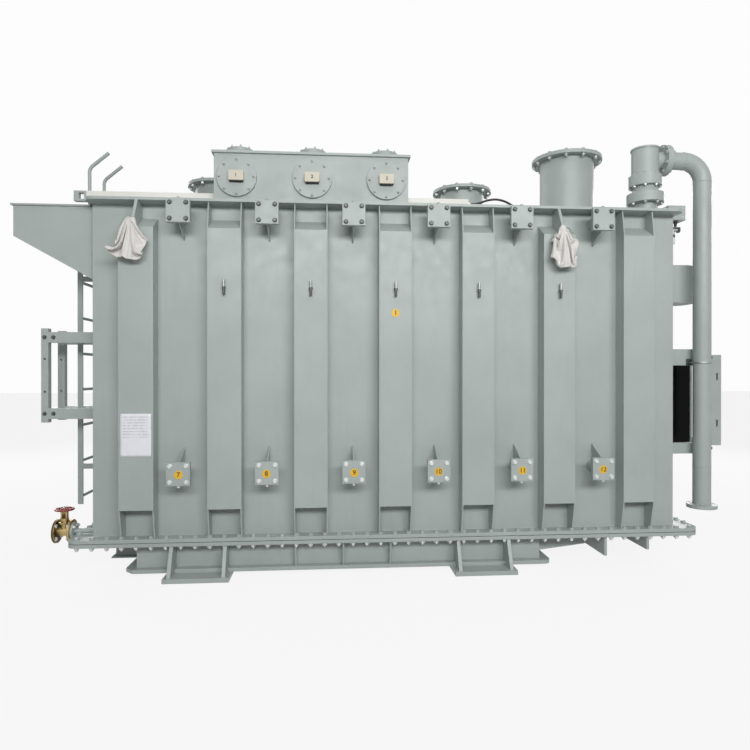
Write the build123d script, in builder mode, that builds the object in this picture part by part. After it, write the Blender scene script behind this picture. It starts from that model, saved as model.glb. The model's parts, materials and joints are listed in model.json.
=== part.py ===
"""Power transformer tank with its covers, ports, pipework and end fittings.

Millimetres, +Z up, +X along the tank, the front long side towards -Y. The origin is on
the floor, under the middle of the tank.
"""

from build123d import *
import math
import os

os.makedirs("parts", exist_ok=True)

# Tank shell
tank_length = 4270
tank_width = 1600
wall_height = 2353
wall = 10
cover_thickness = 20
cover_side_overhang = 115
cover_end_overhang = 30
cover_corner = 70

# Bolted joint between the bell and the base
flange_thickness = 25
flange_reach = 110
flange_end_reach = 150
flange_corner = 80
gasket_thickness = 4

# Base under the lower flange
skid_thickness = 30
skid_width = 450
skid_reach = 200
skid_from_end = 450
base_plate_thickness = 25
base_plate_reach = 62
base_plate_end_reach = 72
base_plate_corner = 60
base_height = 173
base_left_gap = 300
base_right_gap = 1040
skid_gusset_thickness = 25
skid_gusset_half_pitch = 185
skid_gusset_top_reach = 100
web_thickness = 12
web_pitch = 340
web_top_reach = 88
web_bottom_reach = 45

# Sloped floor to the right of the base and shallow sump to its left
slope_clear = 80
slope_depth = 140
slope_end_depth = 95
slope_inset = 80
sump_length = 250
sump_depth = 168
sump_inset = 220
sump_lip = 25

# Lashing brackets under the right end of the flange
bracket_thickness = 20
bracket_reach = 80
near_bracket_from_end = 565
bracket_rise = 100
near_bracket_depth = 143
near_bracket_run = 460
far_bracket_from_end = 240
far_bracket_depth = 105
far_bracket_run = 450

# Boxed ribs on the long sides
rib_count = 7
rib_pitch = 600
rib_width = 235
rib_depth = 130
rib_plate = 8
rib_face_bottom = 205
rib_face_top = 190
rib_slope_rise = 85
rib_foot_depth = 85
rib_head_depth = 100
lug_ribs = (0, 5)

# Channel ribs on the end walls
end_rib_width = 150
end_rib_depth = 60
end_rib_gap = 25
end_rib_pitch = 300
end_rib_clearance = 60

# Lifting lugs on two ribs of each long side
lug_thickness = 20
lug_drop = 440
lug_reach = 215
lug_hole = 60

# Small earthing pins on the rib faces
pin_diameter = 16
pin_length = 95
pin_stand_off = 22
pin_clear = 110

# Radiator ports
port_count = 6
port_pipe = 89
port_pipe_wall = 5
port_plate = 160
port_flange = 20
port_blank = 16
port_reach = 197
port_height_low = 746
port_height_gap = 1800
port_bolt_pitch = 110
port_bolt_hole = 18
port_gusset = 8
port_gusset_tip = 165
port_gusset_foot = 78

# Turret box on the cover
box_from_end = 818
box_length = 1440
box_setback = 120
box_depth = 330
box_height = 403
box_wall = 8
lid_overhang = 16
lid_thickness = 18
window_pitch = 553
window_diameter = 290
window_thickness = 20
window_height = 227
window_hole = 200
tag_width = 108
tag_height = 72
tag_depth = 34
hatch_neck = 150
hatch_neck_height = 28
hatch_flange = 205
hatch_plate = 15

# Round necks on the cover
neck_wall = 8
middle_neck = 373
middle_neck_flange = 497
middle_neck_from_end = 1461
middle_neck_y = -50
middle_neck_top = 323
rear_neck_from_end = 685
rear_neck_y = 200
rear_neck_top = 398
neck_plate = 12
tall_neck = 453
tall_neck_flange = 589
tall_neck_from_end = 529
tall_neck_y = -50
tall_neck_top = 616
tall_neck_plate = 15

# Pressure relief stack and its discharge pipe
relief_from_end = 134
relief_setback = 160
relief_pipe = 168
relief_pipe_height = 106
relief_low_flange = 272
relief_flange_thickness = 37
relief_cone_height = 58
relief_cone_top = 180
relief_high_flange = 242
relief_high_flange_thickness = 42
relief_body = 203
relief_body_height = 200
relief_cap = 216
relief_cap_thickness = 12
outlet_pipe = 133
outlet_wall = 5
outlet_flange = 236
outlet_flange_thickness = 23
outlet_stub = 26
outlet_drop = 72
outlet_radius = 165
pipe_reach = 335
pipe_end_height = 375
pipe_flange = 222
pipe_flange_thickness = 28
pipe_bolt_circle = 180
pipe_bolt_hole = 18
pipe_bolt_count = 8

# Fittings that stand out from both end walls to the same reach
end_reach = 575

# Boxed brackets at the left end
arm_bracket_depth = 300
arm_bracket_setback = 50
arm_bracket_nose = 217
arm_bracket_root = 529
arm_bracket_plate = 8
arm_bracket_top = 12
arm_bracket_lip = 14

# Cabinet frame at the left end
left_frame_reach = 424
left_frame_near = 160
left_frame_far = 430
left_frame_bar = 50
left_frame_arm_height = 78
left_frame_low = 1102
left_frame_gap = 478
left_frame_overhang = 26
left_frame_hole = 18
left_frame_hole_pitch = 240

# Cabinet frame at the right end
right_frame_bar = 50
right_arm_length = 458
right_far_arm_length = 560
right_far_upright_width = 55
right_top_arm_height = 130
right_low_arm_height = 85
right_frame_low = 792
right_frame_high = 1498
right_upright_width = 140
right_upright_low = 850
right_upright_height = 735
right_frame_far = 620
right_slot_width = 18
right_slot_height = 60
right_slot_pitch = 380
right_slot_edge = 35
panel_thickness = 8

# Clamp that holds the discharge pipe to the right frame
clamp_rod = 10
clamp_height = 1520

# Ladder and handrails at the left end
ladder_stand_off = 245
ladder_near = 400
ladder_width = 300
ladder_rail = 38
ladder_rail_thickness = 12
ladder_bottom = 428
ladder_rung = 22
ladder_rung_pitch = 275
ladder_first_rung = 58
ladder_rungs_count = 8
ladder_tie = 40
ladder_ties = (700, 2140)
ladder_top_tie = 75
handrail_tube = 26
handrail_height = 413
handrail_run = 145
handrail_rise = 122
handrail_bend = 70
handrail_stand_off = 175

# Cable tray on the cover
tray_width = 100
tray_height = 46
tray_sheet = 4
tray_setback = 200
tray_clear = 80
tray_left_reach = 120
tray_right_run = 480
tray_foot = 40
tray_bracket_length = 90
tray_bracket_drop = 30
tray_bracket_bar = 36
tray_bracket_edge = 16
tray_bracket_depth = 40

# Boxes and fittings at the right end
junction_length = 147
junction_depth = 120
junction_height = 108
junction_setback = 200
junction_stand_off = 79
junction_plate = 6
end_box_length = 400
end_box_depth = 260
end_box_height = 305
end_box_low = 2010
end_box_setback = 300
end_box_corner = 110
end_box_plate = 6
fitting_height = 2545
fitting_setback = 90
fitting_pipe = 28
fitting_reach = 98
fitting_drop = 96

# Drain valve at the left end
drain_setback = 80
drain_height = 305
drain_pipe = 34
drain_flange = 124
drain_flange_thickness = 14
drain_pipe_length = 168
valve_length = 118
valve_flange = 165
valve_flange_thickness = 16
valve_bolt_circle = 125
valve_bolt_hole = 14
valve_bolt_count = 4
valve_barrel = 70
valve_bore = 34
valve_bonnet = 58
valve_bonnet_height = 60
yoke_width = 46
yoke_depth = 24
yoke_height = 44
yoke_window = 24
stem_diameter = 12
stem_clearance = 0.05
stem_height = 34
wheel_diameter = 134
wheel_rim = 14
wheel_hub = 26
wheel_hub_height = 18
wheel_spoke = 9
wheel_spokes = 5
wheel_clearance = 8

# Cloth wrapped on the two front lifting lugs
wrap_width = 210
wrap_height = 270
wrap_depth = 84
wrap_clearance = 0.3

# Black cable from the tray to the tall neck
cable_diameter = 17
gland_diameter = 30
gland_length = 26

# Levels and planes that the pieces share
base_plate_bottom = skid_thickness
base_plate_top = base_plate_bottom + base_plate_thickness
low_flange_bottom = base_plate_top + base_height
low_flange_top = low_flange_bottom + flange_thickness
bell_bottom = low_flange_top + gasket_thickness
bell_top = bell_bottom + flange_thickness
cover_bottom = bell_top + wall_height
cover_top = cover_bottom + cover_thickness
front = -tank_width / 2
left = -tank_length / 2
right = tank_length / 2
base_left = left + base_left_gap
base_right = right - base_right_gap
base_length = base_right - base_left
base_offset = (base_left + base_right) / 2
rib_places = [(i - (rib_count - 1) / 2) * rib_pitch for i in range(rib_count)]
port_places = [(i - (port_count - 1) / 2) * rib_pitch for i in range(port_count)]
skid_places = [base_left + skid_from_end, base_right - skid_from_end]
box_left = left + box_from_end
middle_neck_x = right - middle_neck_from_end
rear_neck_x = left + rear_neck_from_end
tall_neck_x = right - tall_neck_from_end
relief_x = right - relief_from_end
relief_y = front + relief_setback
pipe_x = right + pipe_reach


def save(piece, name):
    """Name a finished piece and write its file."""
    piece.part.label = name
    export_step(piece.part, f"parts/{name}.step")


def slab(x_span, y_span, z_span, mode=Mode.ADD):
    """A plate or block between two corners."""
    spans = (x_span, y_span, z_span)
    middle = [(low + high) / 2 for low, high in spans]
    size = [high - low for low, high in spans]
    with Locations(Vector(*middle)):
        Box(*size, mode=mode)


def disc(x, y, z, diameter, height, mode=Mode.ADD):
    """An upright cylinder that stands on the level z."""
    with Locations((x, y, z + height / 2)):
        Cylinder(diameter / 2, height, mode=mode)


def pipe_along(start, diameter, length, turn, mode=Mode.ADD):
    """A level cylinder from a start point, turned about the axes by turn."""
    with Locations(Location(start, turn)):
        Cylinder(diameter / 2, length, align=(Align.CENTER, Align.CENTER, Align.MIN), mode=mode)


def side_plate(points, x_middle, thickness):
    """A plate across the tank: its outline in Y and Z, its thickness along X."""
    with BuildSketch(Plane.YZ.offset(x_middle - thickness / 2)) as outline:
        with BuildLine():
            Polyline(*points, close=True)
        make_face()
    extrude(outline.sketch, amount=thickness)


def long_plate(points, y_start, y_end):
    """A plate along the tank: its outline in X and Z, its width along Y."""
    with BuildSketch(Plane.XZ.offset(-y_end)) as outline:
        with BuildLine():
            Polyline(*points, close=True)
        make_face()
    extrude(outline.sketch, amount=y_end - y_start)


TOWARDS_PLUS_X = (0, 90, 0)
TOWARDS_MINUS_X = (0, -90, 0)
TOWARDS_MINUS_Y = (90, 0, 0)


# Skids that the tank stands on
with BuildPart() as skids:
    for x in skid_places:
        slab(
            (x - skid_width / 2, x + skid_width / 2),
            (front - skid_reach, -front + skid_reach),
            (0, skid_thickness),
        )
save(skids, "skids")

# Bottom plate of the base, with a lip all round
with BuildPart() as base_plate:
    with BuildSketch(Plane.XY.offset(base_plate_bottom)) as base_outline:
        with Locations((base_offset, 0)):
            Rectangle(
                base_length + 2 * base_plate_end_reach,
                tank_width + 2 * base_plate_reach,
            )
        left_corners = base_outline.vertices().group_by(Axis.X)[0]
        chamfer(left_corners, base_plate_corner)
        right_corners = base_outline.vertices().group_by(Axis.X)[-1]
        fillet(right_corners, base_plate_corner)
    extrude(amount=base_plate_thickness)
save(base_plate, "base_plate")

# Low walls of the base
with BuildPart() as base_long_walls:
    slab((base_left, base_right), (front, front + wall), (base_plate_top, low_flange_bottom))
    mirror(about=Plane.XZ)
save(base_long_walls, "base_long_walls")

with BuildPart() as base_end_walls:
    for x in (base_left, base_right - wall):
        slab((x, x + wall), (front + wall, -front - wall), (base_plate_top, low_flange_bottom))
save(base_end_walls, "base_end_walls")

# Gussets over the skids and webs between them
with BuildPart() as base_gussets:
    for x in skid_places:
        for side in (-1, 1):
            side_plate(
                [
                    (front, base_plate_top),
                    (front - base_plate_reach, base_plate_top),
                    (front - base_plate_reach, base_plate_bottom),
                    (front - skid_reach + skid_gusset_thickness / 2, base_plate_bottom),
                    (front - skid_gusset_top_reach, low_flange_bottom),
                    (front, low_flange_bottom),
                ],
                x + side * skid_gusset_half_pitch,
                skid_gusset_thickness,
            )
    for step in (-1, 0, 1):
        side_plate(
            [
                (front, base_plate_top),
                (front - web_bottom_reach, base_plate_top),
                (front - web_top_reach, low_flange_bottom),
                (front, low_flange_bottom),
            ],
            base_offset + step * web_pitch,
            web_thickness,
        )
    mirror(about=Plane.XZ)
save(base_gussets, "base_gussets")

# Sloped floor at the right of the base, a plate with two cheeks and an end
with BuildPart() as sloped_floor:
    slope_front = front + slope_inset
    slope_back = -front - slope_inset
    slope_low = low_flange_bottom - slope_depth
    slope_high = low_flange_bottom - slope_end_depth
    slope_end = right - near_bracket_from_end - bracket_thickness / 2 - slope_clear
    long_plate(
        [
            (base_right, slope_low),
            (slope_end, slope_high),
            (slope_end, slope_high + wall),
            (base_right, slope_low + wall),
        ],
        slope_front,
        slope_back,
    )
    for start in (slope_front, slope_back - wall):
        long_plate(
            [
                (base_right, slope_low),
                (slope_end, slope_high),
                (slope_end, low_flange_bottom),
                (base_right, low_flange_bottom),
            ],
            start,
            start + wall,
        )
    slab((slope_end - wall, slope_end), (slope_front, slope_back), (slope_high, low_flange_bottom))
save(sloped_floor, "sloped_floor")

# Shallow sump at the left of the base
with BuildPart() as sump:
    sump_front = front + sump_inset
    sump_back = -front - sump_inset
    sump_floor = low_flange_bottom - sump_depth
    sump_left = base_left - sump_length
    slab((sump_left, base_left), (sump_front, sump_back), (sump_floor, sump_floor + wall))
    slab(
        (sump_left + sump_lip, sump_left + sump_lip + wall),
        (sump_front + sump_lip, sump_back - sump_lip),
        (sump_floor, low_flange_bottom),
    )
    for start in (sump_front + sump_lip, sump_back - sump_lip - wall):
        slab(
            (sump_left + sump_lip, base_left),
            (start, start + wall),
            (sump_floor, low_flange_bottom),
        )
save(sump, "sump")

# Lashing brackets under the right end of the lower flange
with BuildPart() as lashing_brackets:
    for from_end, depth, run in (
        (near_bracket_from_end, near_bracket_depth, near_bracket_run),
        (far_bracket_from_end, far_bracket_depth, far_bracket_run),
    ):
        side_plate(
            [
                (front - bracket_reach, low_flange_bottom),
                (front - bracket_reach, low_flange_bottom - depth),
                (front - bracket_reach + run - bracket_rise, low_flange_bottom - depth),
                (front - bracket_reach + run, low_flange_bottom),
            ],
            right - from_end,
            bracket_thickness,
        )
    mirror(about=Plane.XZ)
save(lashing_brackets, "lashing_brackets")


def flange_ring(level, thickness, opening_x, opening_y):
    """A flange round the tank with a rectangular opening, given as spans in X and Y."""
    with BuildSketch(Plane.XY.offset(level)) as ring:
        RectangleRounded(
            tank_length + 2 * flange_end_reach,
            tank_width + 2 * flange_reach,
            flange_corner,
        )
        with Locations(((opening_x[0] + opening_x[1]) / 2, (opening_y[0] + opening_y[1]) / 2)):
            Rectangle(
                opening_x[1] - opening_x[0],
                opening_y[1] - opening_y[0],
                mode=Mode.SUBTRACT,
            )
    extrude(ring.sketch, amount=thickness)


# Lower flange plate, open over the base, then the gasket
inner_x = (left + wall, right - wall)
inner_y = (front + wall, -front - wall)
with BuildPart() as lower_flange:
    flange_ring(
        low_flange_bottom,
        flange_thickness,
        (base_left + wall, base_right - wall),
        inner_y,
    )
save(lower_flange, "lower_flange")

with BuildPart() as flange_gasket:
    flange_ring(low_flange_top, gasket_thickness, inner_x, inner_y)
save(flange_gasket, "flange_gasket")

# The bell's flange: bars along the two long sides, and shorter bars between them at the ends
with BuildPart() as bell_flange:
    flange_ring(bell_bottom, flange_thickness, inner_x, inner_y)
    for x_start, x_end in (
        (left - flange_end_reach, left + wall),
        (right - wall, right + flange_end_reach),
    ):
        slab((x_start, x_end), inner_y, (bell_bottom, bell_top), mode=Mode.SUBTRACT)
save(bell_flange, "bell_flange")

with BuildPart() as bell_end_flanges:
    slab((left - flange_end_reach, left + wall), inner_y, (bell_bottom, bell_top))
    mirror(about=Plane.YZ)
save(bell_end_flanges, "bell_end_flanges")

# Walls of the bell and the cover plate
with BuildPart() as front_wall:
    slab((left, right), (front, front + wall), (bell_top, cover_bottom))
save(front_wall, "front_wall")

with BuildPart() as rear_wall:
    mirror(front_wall.part, about=Plane.XZ)
save(rear_wall, "rear_wall")

with BuildPart() as left_end_wall:
    slab((left, left + wall), inner_y, (bell_top, cover_bottom))
save(left_end_wall, "left_end_wall")

with BuildPart() as right_end_wall:
    slab((right - wall, right), inner_y, (bell_top, cover_bottom))
save(right_end_wall, "right_end_wall")

with BuildPart() as cover:
    with BuildSketch(Plane.XY.offset(cover_bottom)):
        RectangleRounded(
            tank_length + 2 * cover_end_overhang,
            tank_width + 2 * cover_side_overhang,
            cover_corner,
        )
    extrude(amount=cover_thickness)
save(cover, "cover")

# Boxed ribs: a folded face plate between two side plates
face_bottom = bell_top + rib_face_bottom
face_top = cover_bottom - rib_face_top
face = front - rib_depth


def rib_sides(x_middle, is_lug_rib):
    """Both side plates; those of a lug rib stop at its sloped head, others reach the cover."""
    if is_lug_rib:
        head = [(face, face_top), (front, face_top + rib_slope_rise)]
    else:
        head = [(face, face_top), (front - rib_head_depth, cover_bottom), (front, cover_bottom)]
    foot = [(front, bell_top), (front - rib_foot_depth, bell_top), (face, face_bottom)]
    for side in (-1, 1):
        side_plate(foot + head, x_middle + side * (rib_width - rib_plate) / 2, rib_plate)


def rib_cap(x_middle):
    """The face plate between the side plates, folded back to the wall at its head."""
    side_plate(
        [
            (face, face_bottom),
            (face, face_top),
            (front, face_top + rib_slope_rise),
            (front, face_top + rib_slope_rise - rib_plate),
            (face + rib_plate, face_top - rib_plate / 2),
            (face + rib_plate, face_bottom),
        ],
        x_middle,
        rib_width - 2 * rib_plate,
    )


with BuildPart() as front_rib_sides:
    for index, x in enumerate(rib_places):
        rib_sides(x, index in lug_ribs)
save(front_rib_sides, "front_rib_sides")

with BuildPart() as rear_rib_sides:
    mirror(front_rib_sides.part, about=Plane.XZ)
save(rear_rib_sides, "rear_rib_sides")

with BuildPart() as front_rib_caps:
    for x in rib_places:
        rib_cap(x)
save(front_rib_caps, "front_rib_caps")

with BuildPart() as rear_rib_caps:
    mirror(front_rib_caps.part, about=Plane.XZ)
save(rear_rib_caps, "rear_rib_caps")

# Channel ribs on the end walls, below the brackets and the cover
end_rib_top = cover_bottom - end_rib_clearance
bracket_inner = -front - arm_bracket_setback - arm_bracket_depth
outer_end_rib = bracket_inner - end_rib_gap - end_rib_width / 2
end_rib_places = (outer_end_rib - end_rib_pitch, outer_end_rib)
with BuildPart() as end_ribs:
    for y in end_rib_places:
        for start in (left - end_rib_depth, right):
            slab(
                (start, start + end_rib_depth),
                (y - end_rib_width / 2, y + end_rib_width / 2),
                (bell_top, end_rib_top),
            )
            hollow_start = start + rib_plate if start < 0 else start
            slab(
                (hollow_start, hollow_start + end_rib_depth - rib_plate),
                (y - end_rib_width / 2 + rib_plate, y + end_rib_width / 2 - rib_plate),
                (bell_top, end_rib_top - rib_plate),
                mode=Mode.SUBTRACT,
            )
save(end_ribs, "end_ribs")

# Lifting lugs, upright plates with a shackle hole
lug_bottom = cover_bottom - lug_drop
lug_face = front - lug_reach
lug_hole_height = (lug_bottom + face_top) / 2 + lug_hole
pin_height = lug_bottom - pin_clear - pin_length
with BuildPart() as front_lugs:
    for index in lug_ribs:
        x = rib_places[index]
        side_plate(
            [
                (face, lug_bottom),
                (lug_face, lug_bottom + (face - lug_face)),
                (lug_face, face_top),
                (front - cover_side_overhang, cover_bottom),
                (front, cover_bottom),
                (front, face_top + rib_slope_rise),
                (face, face_top),
            ],
            x,
            lug_thickness,
        )
        hole_start = (x - lug_thickness / 2, face - (face - lug_face) / 2, lug_hole_height)
        pipe_along(hole_start, lug_hole, lug_thickness, TOWARDS_PLUS_X, mode=Mode.SUBTRACT)
save(front_lugs, "front_lugs")

with BuildPart() as rear_lugs:
    mirror(front_lugs.part, about=Plane.XZ)
save(rear_lugs, "rear_lugs")

# Earthing pins on the faces of the ribs without lugs and on the second lug rib
with BuildPart() as rib_pins:
    for x in rib_places[1:6]:
        disc(x, face - pin_stand_off, pin_height, pin_diameter, pin_length)
        slab(
            (x - pin_diameter / 4, x + pin_diameter / 4),
            (face - pin_stand_off, face),
            (pin_height + pin_length / 2, pin_height + pin_length - pin_diameter),
        )
    mirror(about=Plane.XZ)
save(rib_pins, "rib_pins")

# Radiator ports: pipe, square flange and gusset, each closed by a square blank
port_face = front - port_reach
port_flange_face = port_face + port_blank
port_flange_back = port_flange_face + port_flange


def bolted_square(x, z, y_face, thickness):
    """A square plate in front of the wall, with a bolt hole near each corner."""
    with BuildSketch(Plane.XZ.offset(-y_face)) as square:
        with Locations((x, z)):
            Rectangle(port_plate, port_plate)
        with Locations((x, z)):
            with GridLocations(port_bolt_pitch, port_bolt_pitch, 2, 2):
                Circle(port_bolt_hole / 2, mode=Mode.SUBTRACT)
    extrude(square.sketch, amount=-thickness)


def port(x, z, gusset_side):
    """A port pipe with its flange and a gusset above (1) or below (-1) the pipe."""
    bolted_square(x, z, port_flange_face, port_flange)
    pipe_along((x, front, z), port_pipe, front - port_flange_face, TOWARDS_MINUS_Y)
    root = z + gusset_side * port_pipe / 4
    side_plate(
        [
            (front, root),
            (front, z + gusset_side * port_gusset_tip),
            (port_flange_back, z + gusset_side * port_gusset_foot),
            (port_flange_back, root),
        ],
        x,
        port_gusset,
    )
    inner = port_pipe - 2 * port_pipe_wall
    reach = front - port_flange_face
    pipe_along((x, front, z), inner, reach, TOWARDS_MINUS_Y, mode=Mode.SUBTRACT)


port_height_high = port_height_low + port_height_gap
with BuildPart() as radiator_ports:
    for x in port_places:
        port(x, port_height_high, -1)
        port(x, port_height_low, 1)
    mirror(about=Plane.XZ)
save(radiator_ports, "radiator_ports")

with BuildPart() as port_blanks:
    for x in port_places:
        bolted_square(x, port_height_high, port_face, port_blank)
        bolted_square(x, port_height_low, port_face, port_blank)
    mirror(about=Plane.XZ)
save(port_blanks, "port_blanks")

# Turret box with its lid, three round front covers and three hatches on top
box_right = box_left + box_length
box_front = front + box_setback
box_back = box_front + box_depth
box_top = cover_top + box_height
box_middle = (box_left + box_right) / 2
window_level = cover_top + window_height
window_places = [box_middle + step * window_pitch for step in (-1, 0, 1)]

with BuildPart() as turret_box:
    slab((box_left, box_right), (box_front, box_back), (cover_top, box_top))
    slab(
        (box_left + box_wall, box_right - box_wall),
        (box_front + box_wall, box_back - box_wall),
        (cover_top, box_top),
        mode=Mode.SUBTRACT,
    )
    for x in window_places:
        pipe_along(
            (x, box_front + box_wall, window_level),
            window_hole,
            box_wall,
            TOWARDS_MINUS_Y,
            mode=Mode.SUBTRACT,
        )
save(turret_box, "turret_box")

with BuildPart() as turret_lid:
    slab(
        (box_left - lid_overhang, box_right + lid_overhang),
        (box_front - lid_overhang, box_back + lid_overhang),
        (box_top, box_top + lid_thickness),
    )
save(turret_lid, "turret_lid")

with BuildPart() as turret_covers:
    for x in window_places:
        pipe_along(
            (x, box_front, window_level), window_diameter, window_thickness, TOWARDS_MINUS_Y
        )
save(turret_covers, "turret_covers")

with BuildPart() as phase_tags:
    for x in window_places:
        slab(
            (x - tag_width / 2, x + tag_width / 2),
            (box_front - window_thickness - tag_depth, box_front - window_thickness),
            (window_level - tag_height / 2, window_level + tag_height / 2),
        )
    fillet(phase_tags.edges().filter_by(Axis.Y), tag_height / 8)
save(phase_tags, "phase_tags")

hatch_level = box_top + lid_thickness
hatch_y = (box_front + box_back) / 2
with BuildPart() as hatch_necks:
    for x in window_places:
        disc(x, hatch_y, hatch_level, hatch_neck, hatch_neck_height)
        disc(x, hatch_y, hatch_level + hatch_neck_height, hatch_flange, hatch_plate)
        inner = hatch_neck - 2 * box_wall
        height = hatch_neck_height + hatch_plate
        disc(x, hatch_y, hatch_level, inner, height, mode=Mode.SUBTRACT)
save(hatch_necks, "hatch_necks")

with BuildPart() as hatch_covers:
    for x in window_places:
        disc(
            x,
            hatch_y,
            hatch_level + hatch_neck_height + hatch_plate,
            hatch_flange,
            hatch_plate,
        )
save(hatch_covers, "hatch_covers")


def neck(x, y, diameter, flange, height, plate):
    """A round neck on the cover, open inside, with a flange at its top."""
    disc(x, y, cover_top, diameter, height)
    disc(x, y, cover_top + height - plate, flange, plate)
    disc(x, y, cover_top, diameter - 2 * neck_wall, height, mode=Mode.SUBTRACT)


# Round necks with blank covers
middle_neck_level = middle_neck_top + neck_plate
rear_neck_level = rear_neck_top + neck_plate
tall_neck_level = tall_neck_top + tall_neck_plate
with BuildPart() as low_necks:
    neck(
        middle_neck_x,
        middle_neck_y,
        middle_neck,
        middle_neck_flange,
        middle_neck_level,
        neck_plate,
    )
    neck(rear_neck_x, rear_neck_y, middle_neck, middle_neck_flange, rear_neck_level, neck_plate)
save(low_necks, "low_necks")

with BuildPart() as neck_covers:
    disc(
        middle_neck_x,
        middle_neck_y,
        cover_top + middle_neck_level,
        middle_neck_flange,
        neck_plate,
    )
    disc(rear_neck_x, rear_neck_y, cover_top + rear_neck_level, middle_neck_flange, neck_plate)
    disc(
        tall_neck_x,
        tall_neck_y,
        cover_top + tall_neck_level,
        tall_neck_flange,
        tall_neck_plate,
    )
save(neck_covers, "neck_covers")

with BuildPart() as tall_neck_tube:
    neck(
        tall_neck_x,
        tall_neck_y,
        tall_neck,
        tall_neck_flange,
        tall_neck_level,
        tall_neck_plate,
    )
save(tall_neck_tube, "tall_neck")

# Pressure relief stack: pipe and flange, cone, then the body with its side outlet
low_pair = cover_top + relief_pipe_height
cone_bottom = low_pair + 2 * relief_flange_thickness
cone_top = cone_bottom + relief_cone_height
body_bottom = cone_top + 2 * relief_high_flange_thickness
body_top = body_bottom + relief_body_height
outlet_level = body_top - outlet_drop
outlet_x = relief_x + relief_body / 2 + outlet_stub

with BuildPart() as relief_base:
    disc(relief_x, relief_y, cover_top, relief_pipe, relief_pipe_height)
    disc(relief_x, relief_y, low_pair, relief_low_flange, relief_flange_thickness)
    inner = relief_pipe - 2 * neck_wall
    height = relief_pipe_height + relief_flange_thickness
    disc(relief_x, relief_y, cover_top, inner, height, mode=Mode.SUBTRACT)
save(relief_base, "relief_base")

with BuildPart() as relief_cone:
    disc(
        relief_x,
        relief_y,
        low_pair + relief_flange_thickness,
        relief_low_flange,
        relief_flange_thickness,
    )
    with Locations((relief_x, relief_y, (cone_bottom + cone_top) / 2)):
        Cone(relief_body / 2, relief_cone_top / 2, relief_cone_height)
    disc(
        relief_x,
        relief_y,
        cone_top,
        relief_high_flange,
        relief_high_flange_thickness,
    )
    disc(
        relief_x,
        relief_y,
        low_pair + relief_flange_thickness,
        relief_pipe - 2 * neck_wall,
        relief_flange_thickness + relief_cone_height + relief_high_flange_thickness,
        mode=Mode.SUBTRACT,
    )
save(relief_cone, "relief_cone")

with BuildPart() as relief_body_piece:
    body_flange = cone_top + relief_high_flange_thickness
    disc(
        relief_x,
        relief_y,
        body_flange,
        relief_high_flange,
        relief_high_flange_thickness,
    )
    disc(relief_x, relief_y, body_bottom, relief_body, relief_body_height)
    pipe_along(
        (relief_x, relief_y, outlet_level),
        outlet_pipe,
        outlet_x - relief_x,
        TOWARDS_PLUS_X,
    )
    pipe_along(
        (outlet_x, relief_y, outlet_level),
        outlet_flange,
        outlet_flange_thickness,
        TOWARDS_PLUS_X,
    )
    disc(relief_x, relief_y, body_top, relief_cap, relief_cap_thickness)
    disc(
        relief_x,
        relief_y,
        body_flange,
        relief_body - 2 * neck_wall,
        relief_high_flange_thickness + relief_body_height,
        mode=Mode.SUBTRACT,
    )
    pipe_along(
        (relief_x, relief_y, outlet_level),
        outlet_pipe - 2 * outlet_wall,
        outlet_x + outlet_flange_thickness - relief_x,
        TOWARDS_PLUS_X,
        mode=Mode.SUBTRACT,
    )
save(relief_body_piece, "relief_body")

# Discharge pipe: flange, elbow, long drop and an open bottom flange
pipe_start = outlet_x + outlet_flange_thickness
pipe_level = outlet_level - outlet_radius
with BuildPart() as discharge_pipe:
    with BuildLine() as route:
        Line((pipe_start, relief_y, outlet_level), (pipe_x - outlet_radius, relief_y, outlet_level))
        TangentArc(
            (pipe_x - outlet_radius, relief_y, outlet_level),
            (pipe_x, relief_y, pipe_level),
            tangent=(1, 0, 0),
        )
        Line((pipe_x, relief_y, pipe_level), (pipe_x, relief_y, pipe_end_height))
    with BuildSketch(Plane(origin=route.line @ 0, z_dir=route.line % 0)):
        Circle(outlet_pipe / 2)
    sweep(path=route.line)
    pipe_along(
        (pipe_start, relief_y, outlet_level),
        outlet_flange,
        outlet_flange_thickness,
        TOWARDS_PLUS_X,
    )
    with BuildSketch(Plane.XY.offset(pipe_end_height)):
        with Locations((pipe_x, relief_y)):
            Circle(pipe_flange / 2)
            with PolarLocations(pipe_bolt_circle / 2, pipe_bolt_count):
                Circle(pipe_bolt_hole / 2, mode=Mode.SUBTRACT)
    extrude(amount=pipe_flange_thickness)
    with BuildSketch(Plane(origin=route.line @ 0, z_dir=route.line % 0)):
        Circle(outlet_pipe / 2 - outlet_wall)
    sweep(path=route.line, mode=Mode.SUBTRACT)
save(discharge_pipe, "discharge_pipe")

# Frames for cabinets: level arms welded to the end walls, uprights at their ends
left_arm_end = left - left_frame_reach + left_frame_bar
frame_near = front + left_frame_near
frame_far = front + left_frame_far
right_arm_front = relief_y + outlet_pipe / 2
right_arm_back = right_arm_front + right_frame_bar
right_far = front + right_frame_far
left_arm_levels = (left_frame_low, left_frame_low + left_frame_gap + left_frame_arm_height)
right_arms = (
    (right_frame_low, right_low_arm_height),
    (right_frame_high, right_top_arm_height),
)

with BuildPart() as frame_arms:
    for y in (frame_near, frame_far):
        for z in left_arm_levels:
            slab(
                (left_arm_end, left),
                (y, y + left_frame_bar),
                (z, z + left_frame_arm_height),
            )
    for y, length in (
        (right_arm_front, right_arm_length),
        (right_far, right_far_arm_length),
    ):
        for z, height in right_arms:
            slab((right, right + length), (y, y + right_frame_bar), (z, z + height))
save(frame_arms, "frame_arms")

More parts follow.
